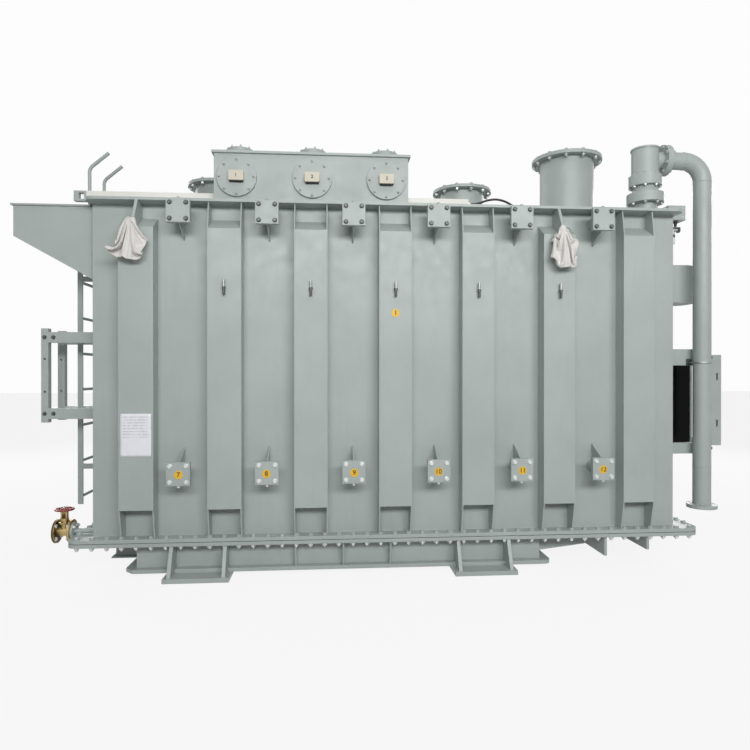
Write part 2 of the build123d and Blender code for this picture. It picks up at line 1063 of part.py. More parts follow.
with BuildPart() as frame_uprights:
    low = left_frame_low - left_frame_overhang
    high = left_arm_levels[1] + left_frame_arm_height + left_frame_overhang
    middle = (low + high) / 2
    for y in (frame_near, frame_far):
        slab((left_arm_end - left_frame_bar, left_arm_end), (y, y + left_frame_bar), (low, high))
        for side in (-1, 1):
            pipe_along(
                (
                    left_arm_end - left_frame_bar / 2,
                    y + left_frame_bar,
                    middle + side * left_frame_hole_pitch / 2,
                ),
                left_frame_hole,
                left_frame_bar,
                TOWARDS_MINUS_Y,
                mode=Mode.SUBTRACT,
            )
    upright_right = right + end_reach
    upright_middle = right_upright_low + right_upright_height / 2
    for y, width in (
        (right_arm_back, right_upright_width),
        (right_far + right_frame_bar, right_far_upright_width),
    ):
        slab(
            (upright_right - width, upright_right),
            (y, y + right_frame_bar),
            (right_upright_low, right_upright_low + right_upright_height),
        )
        with BuildSketch(Plane.XZ.offset(-y)) as slots:
            with Locations((upright_right - right_slot_edge, upright_middle)):
                with GridLocations(0, right_slot_pitch, 1, 2):
                    SlotOverall(right_slot_height, right_slot_width, rotation=90)
        extrude(slots.sketch, amount=-right_frame_bar, mode=Mode.SUBTRACT)
save(frame_uprights, "frame_uprights")

# Dark sheet on the far arms of the right frame
panel_right = upright_right - right_far_upright_width
with BuildPart() as frame_panel:
    slab(
        (right + panel_thickness, panel_right),
        (right_far - panel_thickness, right_far),
        (right_frame_low, right_frame_high + right_top_arm_height),
    )
save(frame_panel, "frame_panel")

# Rod clamp round the discharge pipe, with both legs ending on the near arm
with BuildPart() as pipe_clamp:
    clamp_radius = outlet_pipe / 2 + clamp_rod / 2
    with BuildLine() as clamp_route:
        Line(
            (pipe_x - clamp_radius, right_arm_front, clamp_height),
            (pipe_x - clamp_radius, relief_y, clamp_height),
        )
        ThreePointArc(
            (pipe_x - clamp_radius, relief_y, clamp_height),
            (pipe_x, relief_y - clamp_radius, clamp_height),
            (pipe_x + clamp_radius, relief_y, clamp_height),
        )
        Line(
            (pipe_x + clamp_radius, relief_y, clamp_height),
            (pipe_x + clamp_radius, right_arm_front, clamp_height),
        )
    with BuildSketch(Plane(origin=clamp_route.line @ 0, z_dir=clamp_route.line % 0)):
        Rectangle(clamp_rod, clamp_rod)
    sweep(path=clamp_route.line)
save(pipe_clamp, "pipe_clamp")

# Boxed brackets at the left end, one near each long side
nose_x = left - end_reach + arm_bracket_lip
bracket_top = cover_bottom - arm_bracket_top
with BuildPart() as arm_brackets:
    for side in (-1, 1):
        outer = side * (tank_width / 2 - arm_bracket_setback)
        inner = side * (tank_width / 2 - arm_bracket_setback - arm_bracket_depth)
        y_start = min(outer, inner)
        y_end = max(outer, inner)
        nose_low = bracket_top - arm_bracket_nose
        root_low = bracket_top - arm_bracket_root
        for start in (y_start, y_end - arm_bracket_plate):
            long_plate(
                [(left, bracket_top), (nose_x, bracket_top), (nose_x, nose_low), (left, root_low)],
                start,
                start + arm_bracket_plate,
            )
        slab((nose_x, nose_x + arm_bracket_plate), (y_start, y_end), (nose_low, bracket_top))
        long_plate(
            [
                (nose_x, nose_low),
                (left, root_low),
                (left, root_low + arm_bracket_plate),
                (nose_x, nose_low + arm_bracket_plate),
            ],
            y_start,
            y_end,
        )
        slab(
            (nose_x - arm_bracket_lip, left - cover_end_overhang),
            (y_start - arm_bracket_lip, y_end + arm_bracket_lip),
            (bracket_top, bracket_top + arm_bracket_top),
        )
save(arm_brackets, "arm_brackets")

# Ladder at the left end, tied to the end wall
rail_x = left - ladder_stand_off
rail_near = front + ladder_near
rail_far = rail_near + ladder_width
rail_top = cover_top
first_rung = ladder_bottom + ladder_first_rung
rung_levels = [first_rung + step * ladder_rung_pitch for step in range(ladder_rungs_count)]
tie_levels = ladder_ties + (cover_bottom - ladder_top_tie,)
with BuildPart() as ladder_rails:
    for y in (rail_near, rail_far):
        slab(
            (rail_x - ladder_rail / 2, rail_x + ladder_rail / 2),
            (y, y + ladder_rail_thickness),
            (ladder_bottom, rail_top),
        )
        for z in tie_levels:
            slab(
                (rail_x, left),
                (y, y + ladder_rail_thickness),
                (z, z + ladder_tie),
            )
save(ladder_rails, "ladder_rails")

with BuildPart() as ladder_rungs:
    rung_length = ladder_width - ladder_rail_thickness
    for z in rung_levels:
        pipe_along((rail_x, rail_far, z), ladder_rung, rung_length, TOWARDS_MINUS_Y)
save(ladder_rungs, "ladder_rungs")

# Handrails that rise from the ladder's top ties and lean in over the cover
handrail_x = left - handrail_stand_off
handrail_bottom = cover_bottom - ladder_top_tie + ladder_tie
with BuildPart() as handrails:
    for y in (rail_near, rail_far):
        y_tube = y + ladder_rail_thickness / 2
        bend_level = handrail_bottom + handrail_height
        start = (handrail_x, y_tube, handrail_bottom)
        bend = (handrail_x, y_tube, bend_level)
        end = (handrail_x + handrail_run, y_tube, bend_level + handrail_rise)
        with BuildLine() as rail_route:
            FilletPolyline(start, bend, end, radius=handrail_bend)
        with BuildSketch(Plane(origin=start, z_dir=(0, 0, 1))):
            Circle(handrail_tube / 2)
        sweep(path=rail_route.line)
save(handrails, "handrails")

# Cable tray in two runs on the cover, on flat feet
tray_front = front + tray_setback
tray_bottom = cover_top + tray_clear
tray_start = left - tray_left_reach
tray_end = box_right + tray_right_run
with BuildPart() as cable_tray:
    for x_start, x_end in ((tray_start, box_left), (box_right, tray_end)):
        slab(
            (x_start, x_end),
            (tray_front, tray_front + tray_width),
            (tray_bottom, tray_bottom + tray_height),
        )
        slab(
            (x_start, x_end - tray_sheet),
            (tray_front + tray_sheet, tray_front + tray_width - tray_sheet),
            (tray_bottom + tray_sheet, tray_bottom + tray_height - tray_sheet),
            mode=Mode.SUBTRACT,
        )
        foot_start = max(x_start, left)
        for x in (foot_start, x_end - tray_foot):
            slab(
                (x, x + tray_foot),
                (tray_front, tray_front + tray_width),
                (cover_top, tray_bottom),
            )
save(cable_tray, "cable_tray")

# Open bracket that ends the tray at its left, a plate with a window
tray_tip = tray_start - tray_bracket_length
bracket_z = (tray_bottom - tray_bracket_drop, tray_bottom + tray_height)
with BuildPart() as tray_bracket:
    slab((tray_tip, tray_start), (tray_front, tray_front + tray_bracket_depth), bracket_z)
    slab(
        (tray_tip + tray_bracket_bar, tray_start - tray_bracket_bar / 2),
        (tray_front, tray_front + tray_bracket_depth),
        (bracket_z[0] + tray_bracket_edge, bracket_z[1] - tray_bracket_edge),
        mode=Mode.SUBTRACT,
    )
save(tray_bracket, "tray_bracket")

# Junction box on a plate at the right end of the cover
junction_x = right + junction_stand_off
junction_y = front + junction_setback
with BuildPart() as junction_box:
    slab(
        (junction_x, junction_x + junction_length),
        (junction_y, junction_y + junction_depth),
        (cover_top + junction_plate, cover_top + junction_plate + junction_height),
    )
    fillet(junction_box.edges().filter_by(Axis.Z), 2 * junction_plate)
    offset(amount=-junction_plate / 2, openings=junction_box.faces().sort_by(Axis.Z)[0])
    slab(
        (right - cover_end_overhang, junction_x + junction_length),
        (junction_y, junction_y + junction_depth),
        (cover_top, cover_top + junction_plate),
    )
save(junction_box, "junction_box")

# Rounded box on the right end wall, behind the discharge pipe
end_box_y = front + end_box_setback
with BuildPart() as end_box:
    slab(
        (right, right + end_box_length),
        (end_box_y, end_box_y + end_box_depth),
        (end_box_low, end_box_low + end_box_height),
    )
    corners = end_box.edges().filter_by(Axis.Z).sort_by(Axis.X)[-2:]
    fillet(corners, end_box_corner)
    wall_side = end_box.faces().sort_by(Axis.X)[0]
    offset(amount=-end_box_plate, openings=wall_side)
save(end_box, "end_box")

# Small angle fitting high on the right end wall
with BuildPart() as end_fitting:
    fitting_y = front + fitting_setback
    pipe_along((right, fitting_y, fitting_height), fitting_pipe, fitting_reach, TOWARDS_PLUS_X)
    disc(
        right + fitting_reach / 2,
        fitting_y,
        fitting_height - fitting_drop,
        fitting_pipe,
        fitting_drop,
    )
save(end_fitting, "end_fitting")

# Drain pipe just above the bell flange, with the flange that carries the valve
drain_y = front + drain_setback
drain_end = left - drain_pipe_length
with BuildPart() as drain_pipe_piece:
    pipe_along((left, drain_y, drain_height), drain_pipe, drain_pipe_length, TOWARDS_MINUS_X)
    flange_start = (drain_end + drain_flange_thickness, drain_y, drain_height)
    pipe_along(flange_start, drain_flange, drain_flange_thickness, TOWARDS_MINUS_X)
save(drain_pipe_piece, "drain_pipe")

# Gate valve: barrel between two flanges, bonnet and an open yoke round the stem
valve_x = drain_end - valve_length / 2
bonnet_top = drain_height + valve_barrel / 2 + valve_bonnet_height
yoke_top = bonnet_top + yoke_height
with BuildPart() as valve_body:
    valve_start = (drain_end, drain_y, drain_height)
    pipe_along(valve_start, valve_barrel, valve_length, TOWARDS_MINUS_X)
    pipe_along(valve_start, valve_flange, valve_flange_thickness, TOWARDS_MINUS_X)
    outer_start = (
        drain_end - valve_length + valve_flange_thickness,
        drain_y,
        drain_height,
    )
    pipe_along(outer_start, valve_flange, valve_flange_thickness, TOWARDS_MINUS_X)
    disc(valve_x, drain_y, drain_height, valve_bonnet, bonnet_top - drain_height)
    slab(
        (valve_x - yoke_width / 2, valve_x + yoke_width / 2),
        (drain_y - yoke_depth / 2, drain_y + yoke_depth / 2),
        (bonnet_top, yoke_top),
    )
    slab(
        (valve_x - yoke_window / 2, valve_x + yoke_window / 2),
        (drain_y - yoke_depth / 2, drain_y + yoke_depth / 2),
        (bonnet_top, yoke_top - yoke_window / 2),
        mode=Mode.SUBTRACT,
    )
    with BuildSketch(Plane.YZ.offset(drain_end - valve_length)) as valve_bolts:
        with Locations((drain_y, drain_height)):
            with PolarLocations(valve_bolt_circle / 2, valve_bolt_count, 180 / valve_bolt_count):
                Circle(valve_bolt_hole / 2)
    extrude(valve_bolts.sketch, amount=valve_flange_thickness, mode=Mode.SUBTRACT)
    outlet_start = (drain_end - valve_length, drain_y, drain_height)
    pipe_along(outlet_start, valve_bore, valve_length / 2, TOWARDS_PLUS_X, mode=Mode.SUBTRACT)
    bore = stem_diameter + 2 * stem_clearance
    disc(
        valve_x,
        drain_y,
        bonnet_top - stem_height,
        bore,
        stem_height + yoke_height,
        mode=Mode.SUBTRACT,
    )
save(valve_body, "valve_body")

# Handwheel with its stem, which turns in the bonnet and the yoke
wheel_level = yoke_top + wheel_clearance
with BuildPart() as handwheel:
    stem_bottom = bonnet_top - stem_height + wheel_clearance
    disc(valve_x, drain_y, stem_bottom, stem_diameter, wheel_level - stem_bottom)
    disc(valve_x, drain_y, wheel_level, wheel_hub, wheel_hub_height)
    rim_radius = (wheel_diameter - wheel_rim) / 2
    rim_level = wheel_level + wheel_hub_height / 2
    with Locations((valve_x, drain_y, rim_level)):
        Torus(rim_radius, wheel_rim / 2)
        with PolarLocations(0, wheel_spokes):
            Cylinder(
                wheel_spoke / 2,
                rim_radius,
                rotation=(0, 90, 0),
                align=(Align.CENTER, Align.CENTER, Align.MIN),
            )
save(handwheel, "handwheel")

# Cloths over the two front lugs, closed pads slotted for the lug plates
with BuildPart() as lug_wraps:
    for index in lug_ribs:
        x = rib_places[index]
        slab(
            (x - wrap_width / 2, x + wrap_width / 2),
            (face - wrap_clearance - wrap_depth, face - wrap_clearance),
            (face_top - wrap_height / 2, face_top + wrap_height / 2),
        )
        slab(
            (x - lug_thickness / 2 - wrap_clearance, x + lug_thickness / 2 + wrap_clearance),
            (face - wrap_clearance - wrap_depth, face - wrap_clearance),
            (lug_bottom - wrap_height, face_top + wrap_height),
            mode=Mode.SUBTRACT,
        )
save(lug_wraps, "lug_wraps")

# Cable from the tray's end to the tall neck, with a gland at each end
tray_middle = tray_front + tray_width / 2
cable_level = tray_bottom + tray_height / 2
neck_side = tall_neck_x - tall_neck / 2
resting = cover_top + cable_diameter / 2 + 1
with BuildPart() as cable_glands:
    pipe_along((tray_end, tray_middle, cable_level), gland_diameter, gland_length, TOWARDS_PLUS_X)
    pipe_along(
        (neck_side + neck_wall, tall_neck_y, cable_level),
        gland_diameter,
        gland_length + neck_wall,
        TOWARDS_MINUS_X,
    )
    disc(tall_neck_x, tall_neck_y, cover_top, tall_neck, tall_neck_top, mode=Mode.SUBTRACT)
save(cable_glands, "cable_glands")

cable_start = tray_end + gland_length
cable_end = neck_side - gland_length
cable_route = [
    (cable_start, tray_middle, cable_level),
    (cable_start + 55, tray_middle, cable_level),
    (cable_start + 140, tray_middle + 2, cable_level + 36),
    (cable_start + 228, tray_middle + 9, cable_level + 46),
    (cable_start + 314, tray_middle + 22, cable_level + 22),
    (cable_start + 392, tray_middle + 46, cable_level - 22),
    (cable_start + 458, tray_middle + 84, cable_level - 66),
    (cable_start + 524, tray_middle + 134, resting + 12),
    (cable_start + 590, tray_middle + 200, resting),
    (cable_start + 632, tray_middle + 292, resting + 4),
    (cable_end - 78, tall_neck_y - 118, cable_level - 58),
    (cable_end - 66, tall_neck_y - 30, cable_level - 10),
    (cable_end - 34, tall_neck_y, cable_level),
    (cable_end, tall_neck_y, cable_level),
]


def bend_radii(points):
    """The radius at each inner point, as large as its two runs allow."""
    radii = []
    for before, here, after in zip(points, points[1:], points[2:]):
        run_in = Vector(*here) - Vector(*before)
        run_out = Vector(*after) - Vector(*here)
        turn = math.radians(run_in.get_angle(run_out))
        radii.append(0.45 * min(run_in.length, run_out.length) / math.tan(turn / 2))
    return radii


with BuildPart() as tray_cable:
    cable_radii = bend_radii(cable_route)
    with BuildLine() as cable_line:
        FilletPolyline(*cable_route, radius=cable_radii)
    with BuildSketch(Plane(origin=cable_line.line @ 0, z_dir=cable_line.line % 0)):
        Circle(cable_diameter / 2)
    sweep(path=cable_line.line)
save(tray_cable, "tray_cable")
print("cable radii", [round(radius) for radius in cable_radii])
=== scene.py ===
"""The look of the power transformer tank: finishes, bolts, welds, cloths, tags and light.

Metres, +Z up, +X along the tank, the front long side towards -Y.
"""

import json
import math
import random

import bpy
from mathutils import Matrix, Vector


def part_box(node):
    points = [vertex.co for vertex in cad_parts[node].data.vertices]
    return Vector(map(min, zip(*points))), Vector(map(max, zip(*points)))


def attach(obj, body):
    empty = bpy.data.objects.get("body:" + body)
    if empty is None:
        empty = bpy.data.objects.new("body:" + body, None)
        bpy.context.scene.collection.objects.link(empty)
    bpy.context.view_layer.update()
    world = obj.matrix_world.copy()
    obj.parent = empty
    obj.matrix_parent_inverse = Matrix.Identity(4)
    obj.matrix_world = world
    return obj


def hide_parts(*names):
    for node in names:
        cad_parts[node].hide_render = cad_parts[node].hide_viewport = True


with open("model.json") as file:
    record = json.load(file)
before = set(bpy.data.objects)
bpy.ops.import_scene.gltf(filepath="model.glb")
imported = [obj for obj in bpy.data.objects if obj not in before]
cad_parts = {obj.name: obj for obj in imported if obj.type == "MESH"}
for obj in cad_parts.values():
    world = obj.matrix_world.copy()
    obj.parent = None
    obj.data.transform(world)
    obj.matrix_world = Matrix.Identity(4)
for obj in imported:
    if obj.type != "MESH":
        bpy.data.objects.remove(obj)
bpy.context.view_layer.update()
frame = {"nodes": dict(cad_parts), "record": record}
nodes = frame["nodes"]
BODY = "tank"

# Directions; the front is towards -Y
UP = (0, 0, 1)
DOWN = (0, 0, -1)
FORWARD = (0, -1, 0)
BACKWARD = (0, 1, 0)
RIGHTWARD = (1, 0, 0)
LEFTWARD = (-1, 0, 0)

# Places that the pieces share, read from the frame
wall_low, wall_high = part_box("front_wall")
WALL_Y = wall_low[1]
LEFT = wall_low[0]
RIGHT = wall_high[0]
COVER_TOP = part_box("cover")[1][2]
COVER_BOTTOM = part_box("cover")[0][2]
FLANGE_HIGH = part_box("bell_flange")[1]
NUT_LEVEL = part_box("lower_flange")[0][2]
RIB_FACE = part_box("front_rib_caps")[0][1]
RIB_PITCH = 0.6
RIB_WIDTH = 0.235
RIB_COUNT = 7
RIB_PLACES = [(i - (RIB_COUNT - 1) / 2) * RIB_PITCH for i in range(RIB_COUNT)]
PORT_PLACES = [(i - (RIB_COUNT - 2) / 2) * RIB_PITCH for i in range(RIB_COUNT - 1)]
PORT_LEVELS = (0.746, 2.546)
PORT_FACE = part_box("port_blanks")[0][1]
LUG_RIBS = (RIB_PLACES[0], RIB_PLACES[5])

# Colours and pattern of the finishes
TANK_GREY = (0.405, 0.455, 0.437)
DUST = (0.5, 0.49, 0.46)
PAPER = (0.86, 0.87, 0.92)
PRINT = (0.3, 0.3, 0.36)
SHEET_LINES = 15.0


# Node helpers
def material(name):
    """A new material with an empty Principled shader, and short ways to add nodes and links."""
    made = bpy.data.materials.new(name)
    made.use_nodes = True
    tree = made.node_tree
    shader = tree.nodes["Principled BSDF"]

    def add(kind, **inputs):
        node = tree.nodes.new(kind)
        for key, value in inputs.items():
            if hasattr(node, key):
                setattr(node, key, value)
            else:
                node.inputs[key.replace("_", " ")].default_value = value
        return node

    def link(a, b):
        tree.links.new(a, b)

    return made, shader, add, link


def noise(add, link, coordinates, scale, detail=3.0, roughness=0.5):
    """A noise value from 0 to 1."""
    node = add("ShaderNodeTexNoise", Scale=scale, Detail=detail, Roughness=roughness)
    link(coordinates, node.inputs["Vector"])
    return node.outputs["Fac"]


def ramp(add, link, value, low, high, start, end):
    """value remapped from start..end to low..high, clamped."""
    node = add("ShaderNodeMapRange")
    for key, number in (("From Min", start), ("From Max", end), ("To Min", low), ("To Max", high)):
        node.inputs[key].default_value = number
    link(value, node.inputs["Value"])
    return node.outputs["Result"]


def blend_colour(add, link, factor, first, second):
    """first where factor is 0, second where it is 1; each is a colour or a socket."""
    node = add("ShaderNodeMix", data_type="RGBA")
    link(factor, node.inputs["Factor"])
    for socket, colour in ((node.inputs[6], first), (node.inputs[7], second)):
        if hasattr(colour, "links"):
            link(colour, socket)
        else:
            socket.default_value = (*colour, 1.0)
    return node.outputs[2]


def product(add, link, first, second):
    """first times second, which is a socket or a number."""
    node = add("ShaderNodeMath", operation="MULTIPLY")
    link(first, node.inputs[0])
    if hasattr(second, "links"):
        link(second, node.inputs[1])
    else:
        node.inputs[1].default_value = second
    return node.outputs[0]


def roughen(add, link, shader, pattern, low, high):
    """Roughness from low to high, by a noise value."""
    link(ramp(add, link, pattern, low, high, 0.3, 0.7), shader.inputs["Roughness"])


def rounded(add, link, radius):
    """A normal that rounds the edges of the solids by radius."""
    bevel = add("ShaderNodeBevel", samples=6, Radius=radius)
    return bevel.outputs["Normal"]


def edge_mask(add, link, soft_normal):
    """1 near an edge, where the rounded normal leaves the true one, else 0."""
    geometry = add("ShaderNodeNewGeometry")
    dot = add("ShaderNodeVectorMath", operation="DOT_PRODUCT")
    link(soft_normal, dot.inputs[0])
    link(geometry.outputs["Normal"], dot.inputs[1])
    return ramp(add, link, dot.outputs["Value"], 1.0, 0.0, 0.93, 0.999)


def bump(add, link, height, strength, distance, normal=None):
    """A normal that follows a height value."""
    node = add("ShaderNodeBump", Strength=strength, Distance=distance)
    link(height, node.inputs["Height"])
    if normal is not None:
        link(normal, node.inputs["Normal"])
    return node.outputs["Normal"]


def painted(name, colour, roughness=0.42, edge=0.004, variation=0.05, dust=0.25):
    """Sprayed enamel: orange peel, faint clouds of tone, edges lightened as a painted highlight, dust
    on level faces.
    """
    made, shader, add, link = material(name)
    place = add("ShaderNodeTexCoord").outputs["Object"]
    darker = tuple(c * (1 - variation) for c in colour)
    lighter = tuple(min(1.0, c * (1 + variation)) for c in colour)
    clouds = ramp(add, link, noise(add, link, place, 1.7, 5.0, 0.6), 0.0, 1.0, 0.35, 0.65)
    body = blend_colour(add, link, clouds, darker, lighter)
    stretched = add("ShaderNodeMapping")
    stretched.inputs["Scale"].default_value = (9.0, 9.0, 0.8)
    link(place, stretched.inputs["Vector"])
    runs = noise(add, link, stretched.outputs["Vector"], 3.0, 4.0, 0.65)
    streaks = ramp(add, link, runs, 0.0, 0.3, 0.52, 0.8)
    body = blend_colour(add, link, streaks, body, tuple(c * 0.86 for c in colour))
    soft_normal = rounded(add, link, edge)
    # Painted highlight: the enamel is lightened along the rounded edges
    edge_highlight = edge_mask(add, link, soft_normal)
    body = blend_colour(add, link, edge_highlight, body, tuple(min(1.0, c * 1.22) for c in colour))
    normal = add("ShaderNodeSeparateXYZ")
    link(add("ShaderNodeNewGeometry").outputs["Normal"], normal.inputs[0])
    level = ramp(add, link, normal.outputs["Z"], 0.0, dust, 0.6, 1.0)
    patches = product(add, link, level, noise(add, link, place, 6.0, 6.0, 0.7))
    body = blend_colour(add, link, patches, body, DUST)
    link(body, shader.inputs["Base Color"])
    gloss = noise(add, link, place, 11.0, 3.0)
    roughen(add, link, shader, gloss, roughness - 0.06, roughness + 0.1)
    peel = noise(add, link, place, 260.0, 2.0)
    wavy = noise(add, link, place, 2.6, 1.0)
    soft_normal = bump(add, link, wavy, 0.35, 0.012, soft_normal)
    link(bump(add, link, peel, 0.12, 0.0006, soft_normal), shader.inputs["Normal"])
    return made


def metal(name, colour, roughness, metallic=1.0, grain=140.0, grime=0.35, edge=0.001):
    """Bare or plated metal with fine scratches and grime in patches."""
    made, shader, add, link = material(name)
    place = add("ShaderNodeTexCoord").outputs["Object"]
    patches = ramp(add, link, noise(add, link, place, 38.0, 5.0, 0.7), 0.0, grime, 0.45, 0.75)
    tone = blend_colour(add, link, patches, colour, tuple(c * 0.35 for c in colour))
    link(tone, shader.inputs["Base Color"])
    shader.inputs["Metallic"].default_value = metallic
    fine = noise(add, link, place, grain, 4.0, 0.6)
    roughen(add, link, shader, fine, roughness - 0.08, roughness + 0.12)
    soft_normal = rounded(add, link, edge)
    link(bump(add, link, fine, 0.15, 0.0006, soft_normal), shader.inputs["Normal"])
    return made


def plastic(name, colour, roughness, peel=180.0, edge=0.0015, spread=0.06, specular=0.5):
    """Moulded plastic, vinyl or rubber with a fine pebbled skin."""
    made, shader, add, link = material(name)
    place = add("ShaderNodeTexCoord").outputs["Object"]
    patches = noise(add, link, place, 14.0, 4.0, 0.6)
    dark = tuple(c * (1 - spread) for c in colour)
    light = tuple(min(1.0, c * (1 + spread)) for c in colour)
    link(blend_colour(add, link, patches, dark, light), shader.inputs["Base Color"])
    skin = noise(add, link, place, peel, 2.0)
    roughen(add, link, shader, skin, roughness - 0.05, roughness + 0.08)
    link(bump(add, link, skin, 0.2, 0.0005, rounded(add, link, edge)), shader.inputs["Normal"])
    shader.inputs["Specular IOR Level"].default_value = specular
    return made


def cotton(name, colour):
    """White wiping cloth: a small weave, soft fuzz and faint stains."""
    made, shader, add, link = material(name)
    place = add("ShaderNodeTexCoord").outputs["UV"]
    stains = ramp(add, link, noise(add, link, place, 3.0, 6.0, 0.7), 0.0, 0.3, 0.5, 0.85)
    tone = blend_colour(add, link, stains, colour, tuple(c * 0.78 for c in colour))
    link(tone, shader.inputs["Base Color"])
    weave = []
    for direction in ("X", "Y"):
        wave = add("ShaderNodeTexWave", bands_direction=direction, Scale=60.0, Distortion=0.6)
        link(place, wave.inputs["Vector"])
        weave.append(wave.outputs["Fac"])
    threads = product(add, link, *weave)
    link(bump(add, link, threads, 0.3, 0.0012), shader.inputs["Normal"])
    roughen(add, link, shader, noise(add, link, place, 90.0, 3.0), 0.85, 1.0)
    shader.inputs["Sheen Weight"].default_value = 0.25
    return made


def printed_sheet(name):
    """A paper sheet with plain grey bars where a printed sheet has its lines."""
    made, shader, add, link = material(name)
    place = add("ShaderNodeTexCoord").outputs["Generated"]
    split = add("ShaderNodeSeparateXYZ")
    link(place, split.inputs[0])
    part = add("ShaderNodeMath", operation="FRACT")
    link(product(add, link, split.outputs["Z"], SHEET_LINES), part.inputs[0])
    bars = ramp(add, link, part.outputs[0], 0.0, 1.0, 0.62, 0.66)
    stretched = add("ShaderNodeMapping")
    stretched.inputs["Scale"].default_value = (26.0, 1.0, 5.0)
    link(place, stretched.inputs["Vector"])
    words = noise(add, link, stretched.outputs["Vector"], 1.0, 1.0)
    breaks = ramp(add, link, words, 0.0, 1.0, 0.44, 0.5)
    upper = ramp(add, link, split.outputs["Z"], 0.0, 1.0, 0.42, 0.44)
    top = ramp(add, link, split.outputs["Z"], 1.0, 0.0, 0.93, 0.95)
    margin = ramp(add, link, split.outputs["X"], 0.0, 1.0, 0.08, 0.1)
    far_margin = ramp(add, link, split.outputs["X"], 1.0, 0.0, 0.86, 0.9)
    mask = bars
    for other in (breaks, upper, top, margin, far_margin):
        mask = product(add, link, mask, other)
    ink = ramp(add, link, mask, 0.0, 0.5, 0.0, 1.0)
    link(blend_colour(add, link, ink, PAPER, PRINT), shader.inputs["Base Color"])
    creases = noise(add, link, add("ShaderNodeTexCoord").outputs["Object"], 16.0, 3.0)
    link(bump(add, link, creases, 0.3, 0.004), shader.inputs["Normal"])
    roughen(add, link, shader, creases, 0.2, 0.35)
    return made


finishes = {
    "tank_paint": painted("tank_enamel", TANK_GREY),
    "box_paint": painted("box_enamel", (0.43, 0.475, 0.465), roughness=0.5),
    "tray_paint": painted("tray_enamel", (0.86, 0.84, 0.8), roughness=0.55, edge=0.0015),
    "gasket_rubber": plastic("gasket_rubber", (0.05, 0.055, 0.055), 0.75),
    "tag_plastic": plastic("tag_plastic", (0.66, 0.61, 0.5), 0.5),
    # Near-black back plate behind the right frame: its black is painted shade for the dark gap
    # between the frame's arms
    "panel_gloss": plastic("black_shade_panel", (0.004, 0.005, 0.005), 0.12, peel=40.0, specular=0.08),
    "bare_steel": metal("dull_steel", (0.36, 0.37, 0.36), 0.45),
    "valve_brass": metal("cast_brass", (0.47, 0.36, 0.17), 0.42, grime=0.95),
    "wheel_paint": painted("wheel_enamel", (0.24, 0.02, 0.02), roughness=0.3, edge=0.001, dust=0.1),
    "cable_sheath": plastic("cable_sheath", (0.012, 0.012, 0.013), 0.45),
    "gland_steel": metal("plated_gland", (0.4, 0.4, 0.39), 0.35),
    "white_cloth": cotton("white_cotton", (0.78, 0.76, 0.73)),
}
zinc = metal("zinc_plate", (0.62, 0.64, 0.63), 0.42, metallic=0.75, grime=0.2)
dark_bolt = metal("blackened_bolt", (0.09, 0.095, 0.09), 0.45, metallic=0.8)
painted_bolt = painted("painted_bolt", (0.43, 0.475, 0.46), edge=0.001)
yellow = plastic("yellow_vinyl", (0.85, 0.5, 0.02), 0.4)
black_ink = plastic("black_ink", (0.015, 0.015, 0.015), 0.5)
# Dark brass of the bonnet bolts and stem gland; the same material paints shade on the valve's flange
# faces and rim
dark_brass_and_shade = metal("dark_brass_and_painted_shade", (0.1, 0.075, 0.035), 0.5, grime=0.7)
pale_plastic = plastic("pale_sleeve", (0.7, 0.71, 0.7), 0.45)
# Black plastic of the conduit and glands; the same material paints the shade under the tags
black_plastic_and_shade = plastic("black_conduit_and_shade", (0.015, 0.016, 0.016), 0.5)

for entry in frame["record"]["subparts"]:
    shown = nodes[entry["node"]]
    shown.data.materials.clear()
    shown.data.materials.append(finishes[entry["material_slot"]])


# Mesh helpers: small turned and hexagonal solids, placed many times in one mesh
def row_of_faces(row, after, sides):
    """The four-sided faces between two rings of points, given by their numbers."""
    near = row * sides
    far = after * sides
    faces = []
    for step in range(sides):
        ahead = (step + 1) % sides
        faces.append((near + step, near + ahead, far + ahead, far + step))
    return faces


def grid_faces(rows, columns):
    """The four-sided faces of a grid of points, given row by row."""
    faces = []
    for row in range(rows):
        for column in range(columns):
            start = row * (columns + 1) + column
            faces.append((start, start + 1, start + columns + 2, start + columns + 1))
    return faces


def turned(profile, sides, turn=0.0):
    """Points and faces of a closed solid from (radius, height) pairs about +Z."""
    points = []
    faces = []
    for radius, height in profile:
        for step in range(sides):
            angle = turn + 2 * math.pi * step / sides
            points.append(Vector((radius * math.cos(angle), radius * math.sin(angle), height)))
    for row in range(len(profile) - 1):
        faces += row_of_faces(row, row + 1, sides)
    last = (len(profile) - 1) * sides
    faces.append(tuple(reversed(range(sides))))
    faces.append(tuple(range(last, last + sides)))
    return points, faces


def hexagon(across, height, base=0.0):
    """A chamfered hexagon head or nut, by its size across the flats."""
    corner = across / math.sqrt(3)
    cut = 0.16 * height
    return turned([(corner, base), (corner, base + height - cut), (0.88 * corner, base + height)], 6)


def washer(radius, height):
    """A round washer with a slight chamfer."""
    return turned([(radius, 0.0), (radius, 0.75 * height), (0.94 * radius, height)], 18)


def stud(radius, length, base=0.0):
    """A round stud end with a few thread grooves and a rounded tip."""
    profile = [(radius, base)]
    pitch = 0.25 * radius
    step = base + pitch
    while step < base + length - pitch:
        profile.append((radius * (0.9 if len(profile) % 2 else 1.0), step))
        step += pitch
    profile += [(radius, base + length - pitch), (0.7 * radius, base + length)]
    return turned(profile, 10)


def bolt_head(size, washer_height=0.003):
    """A washer with a hexagon head on it; size is the thread's diameter."""
    return [washer(1.05 * size, washer_height), hexagon(1.6 * size, 0.68 * size, washer_height)]


def nut_and_stud(size, washer_height=0.003, tail=0.5):
    """A washer, a nut and the stud's end."""
    height = 0.8 * size
    return [
        washer(1.05 * size, washer_height),
        hexagon(1.6 * size, height, washer_height),
        stud(0.5 * size, height + tail * size, washer_height),
    ]


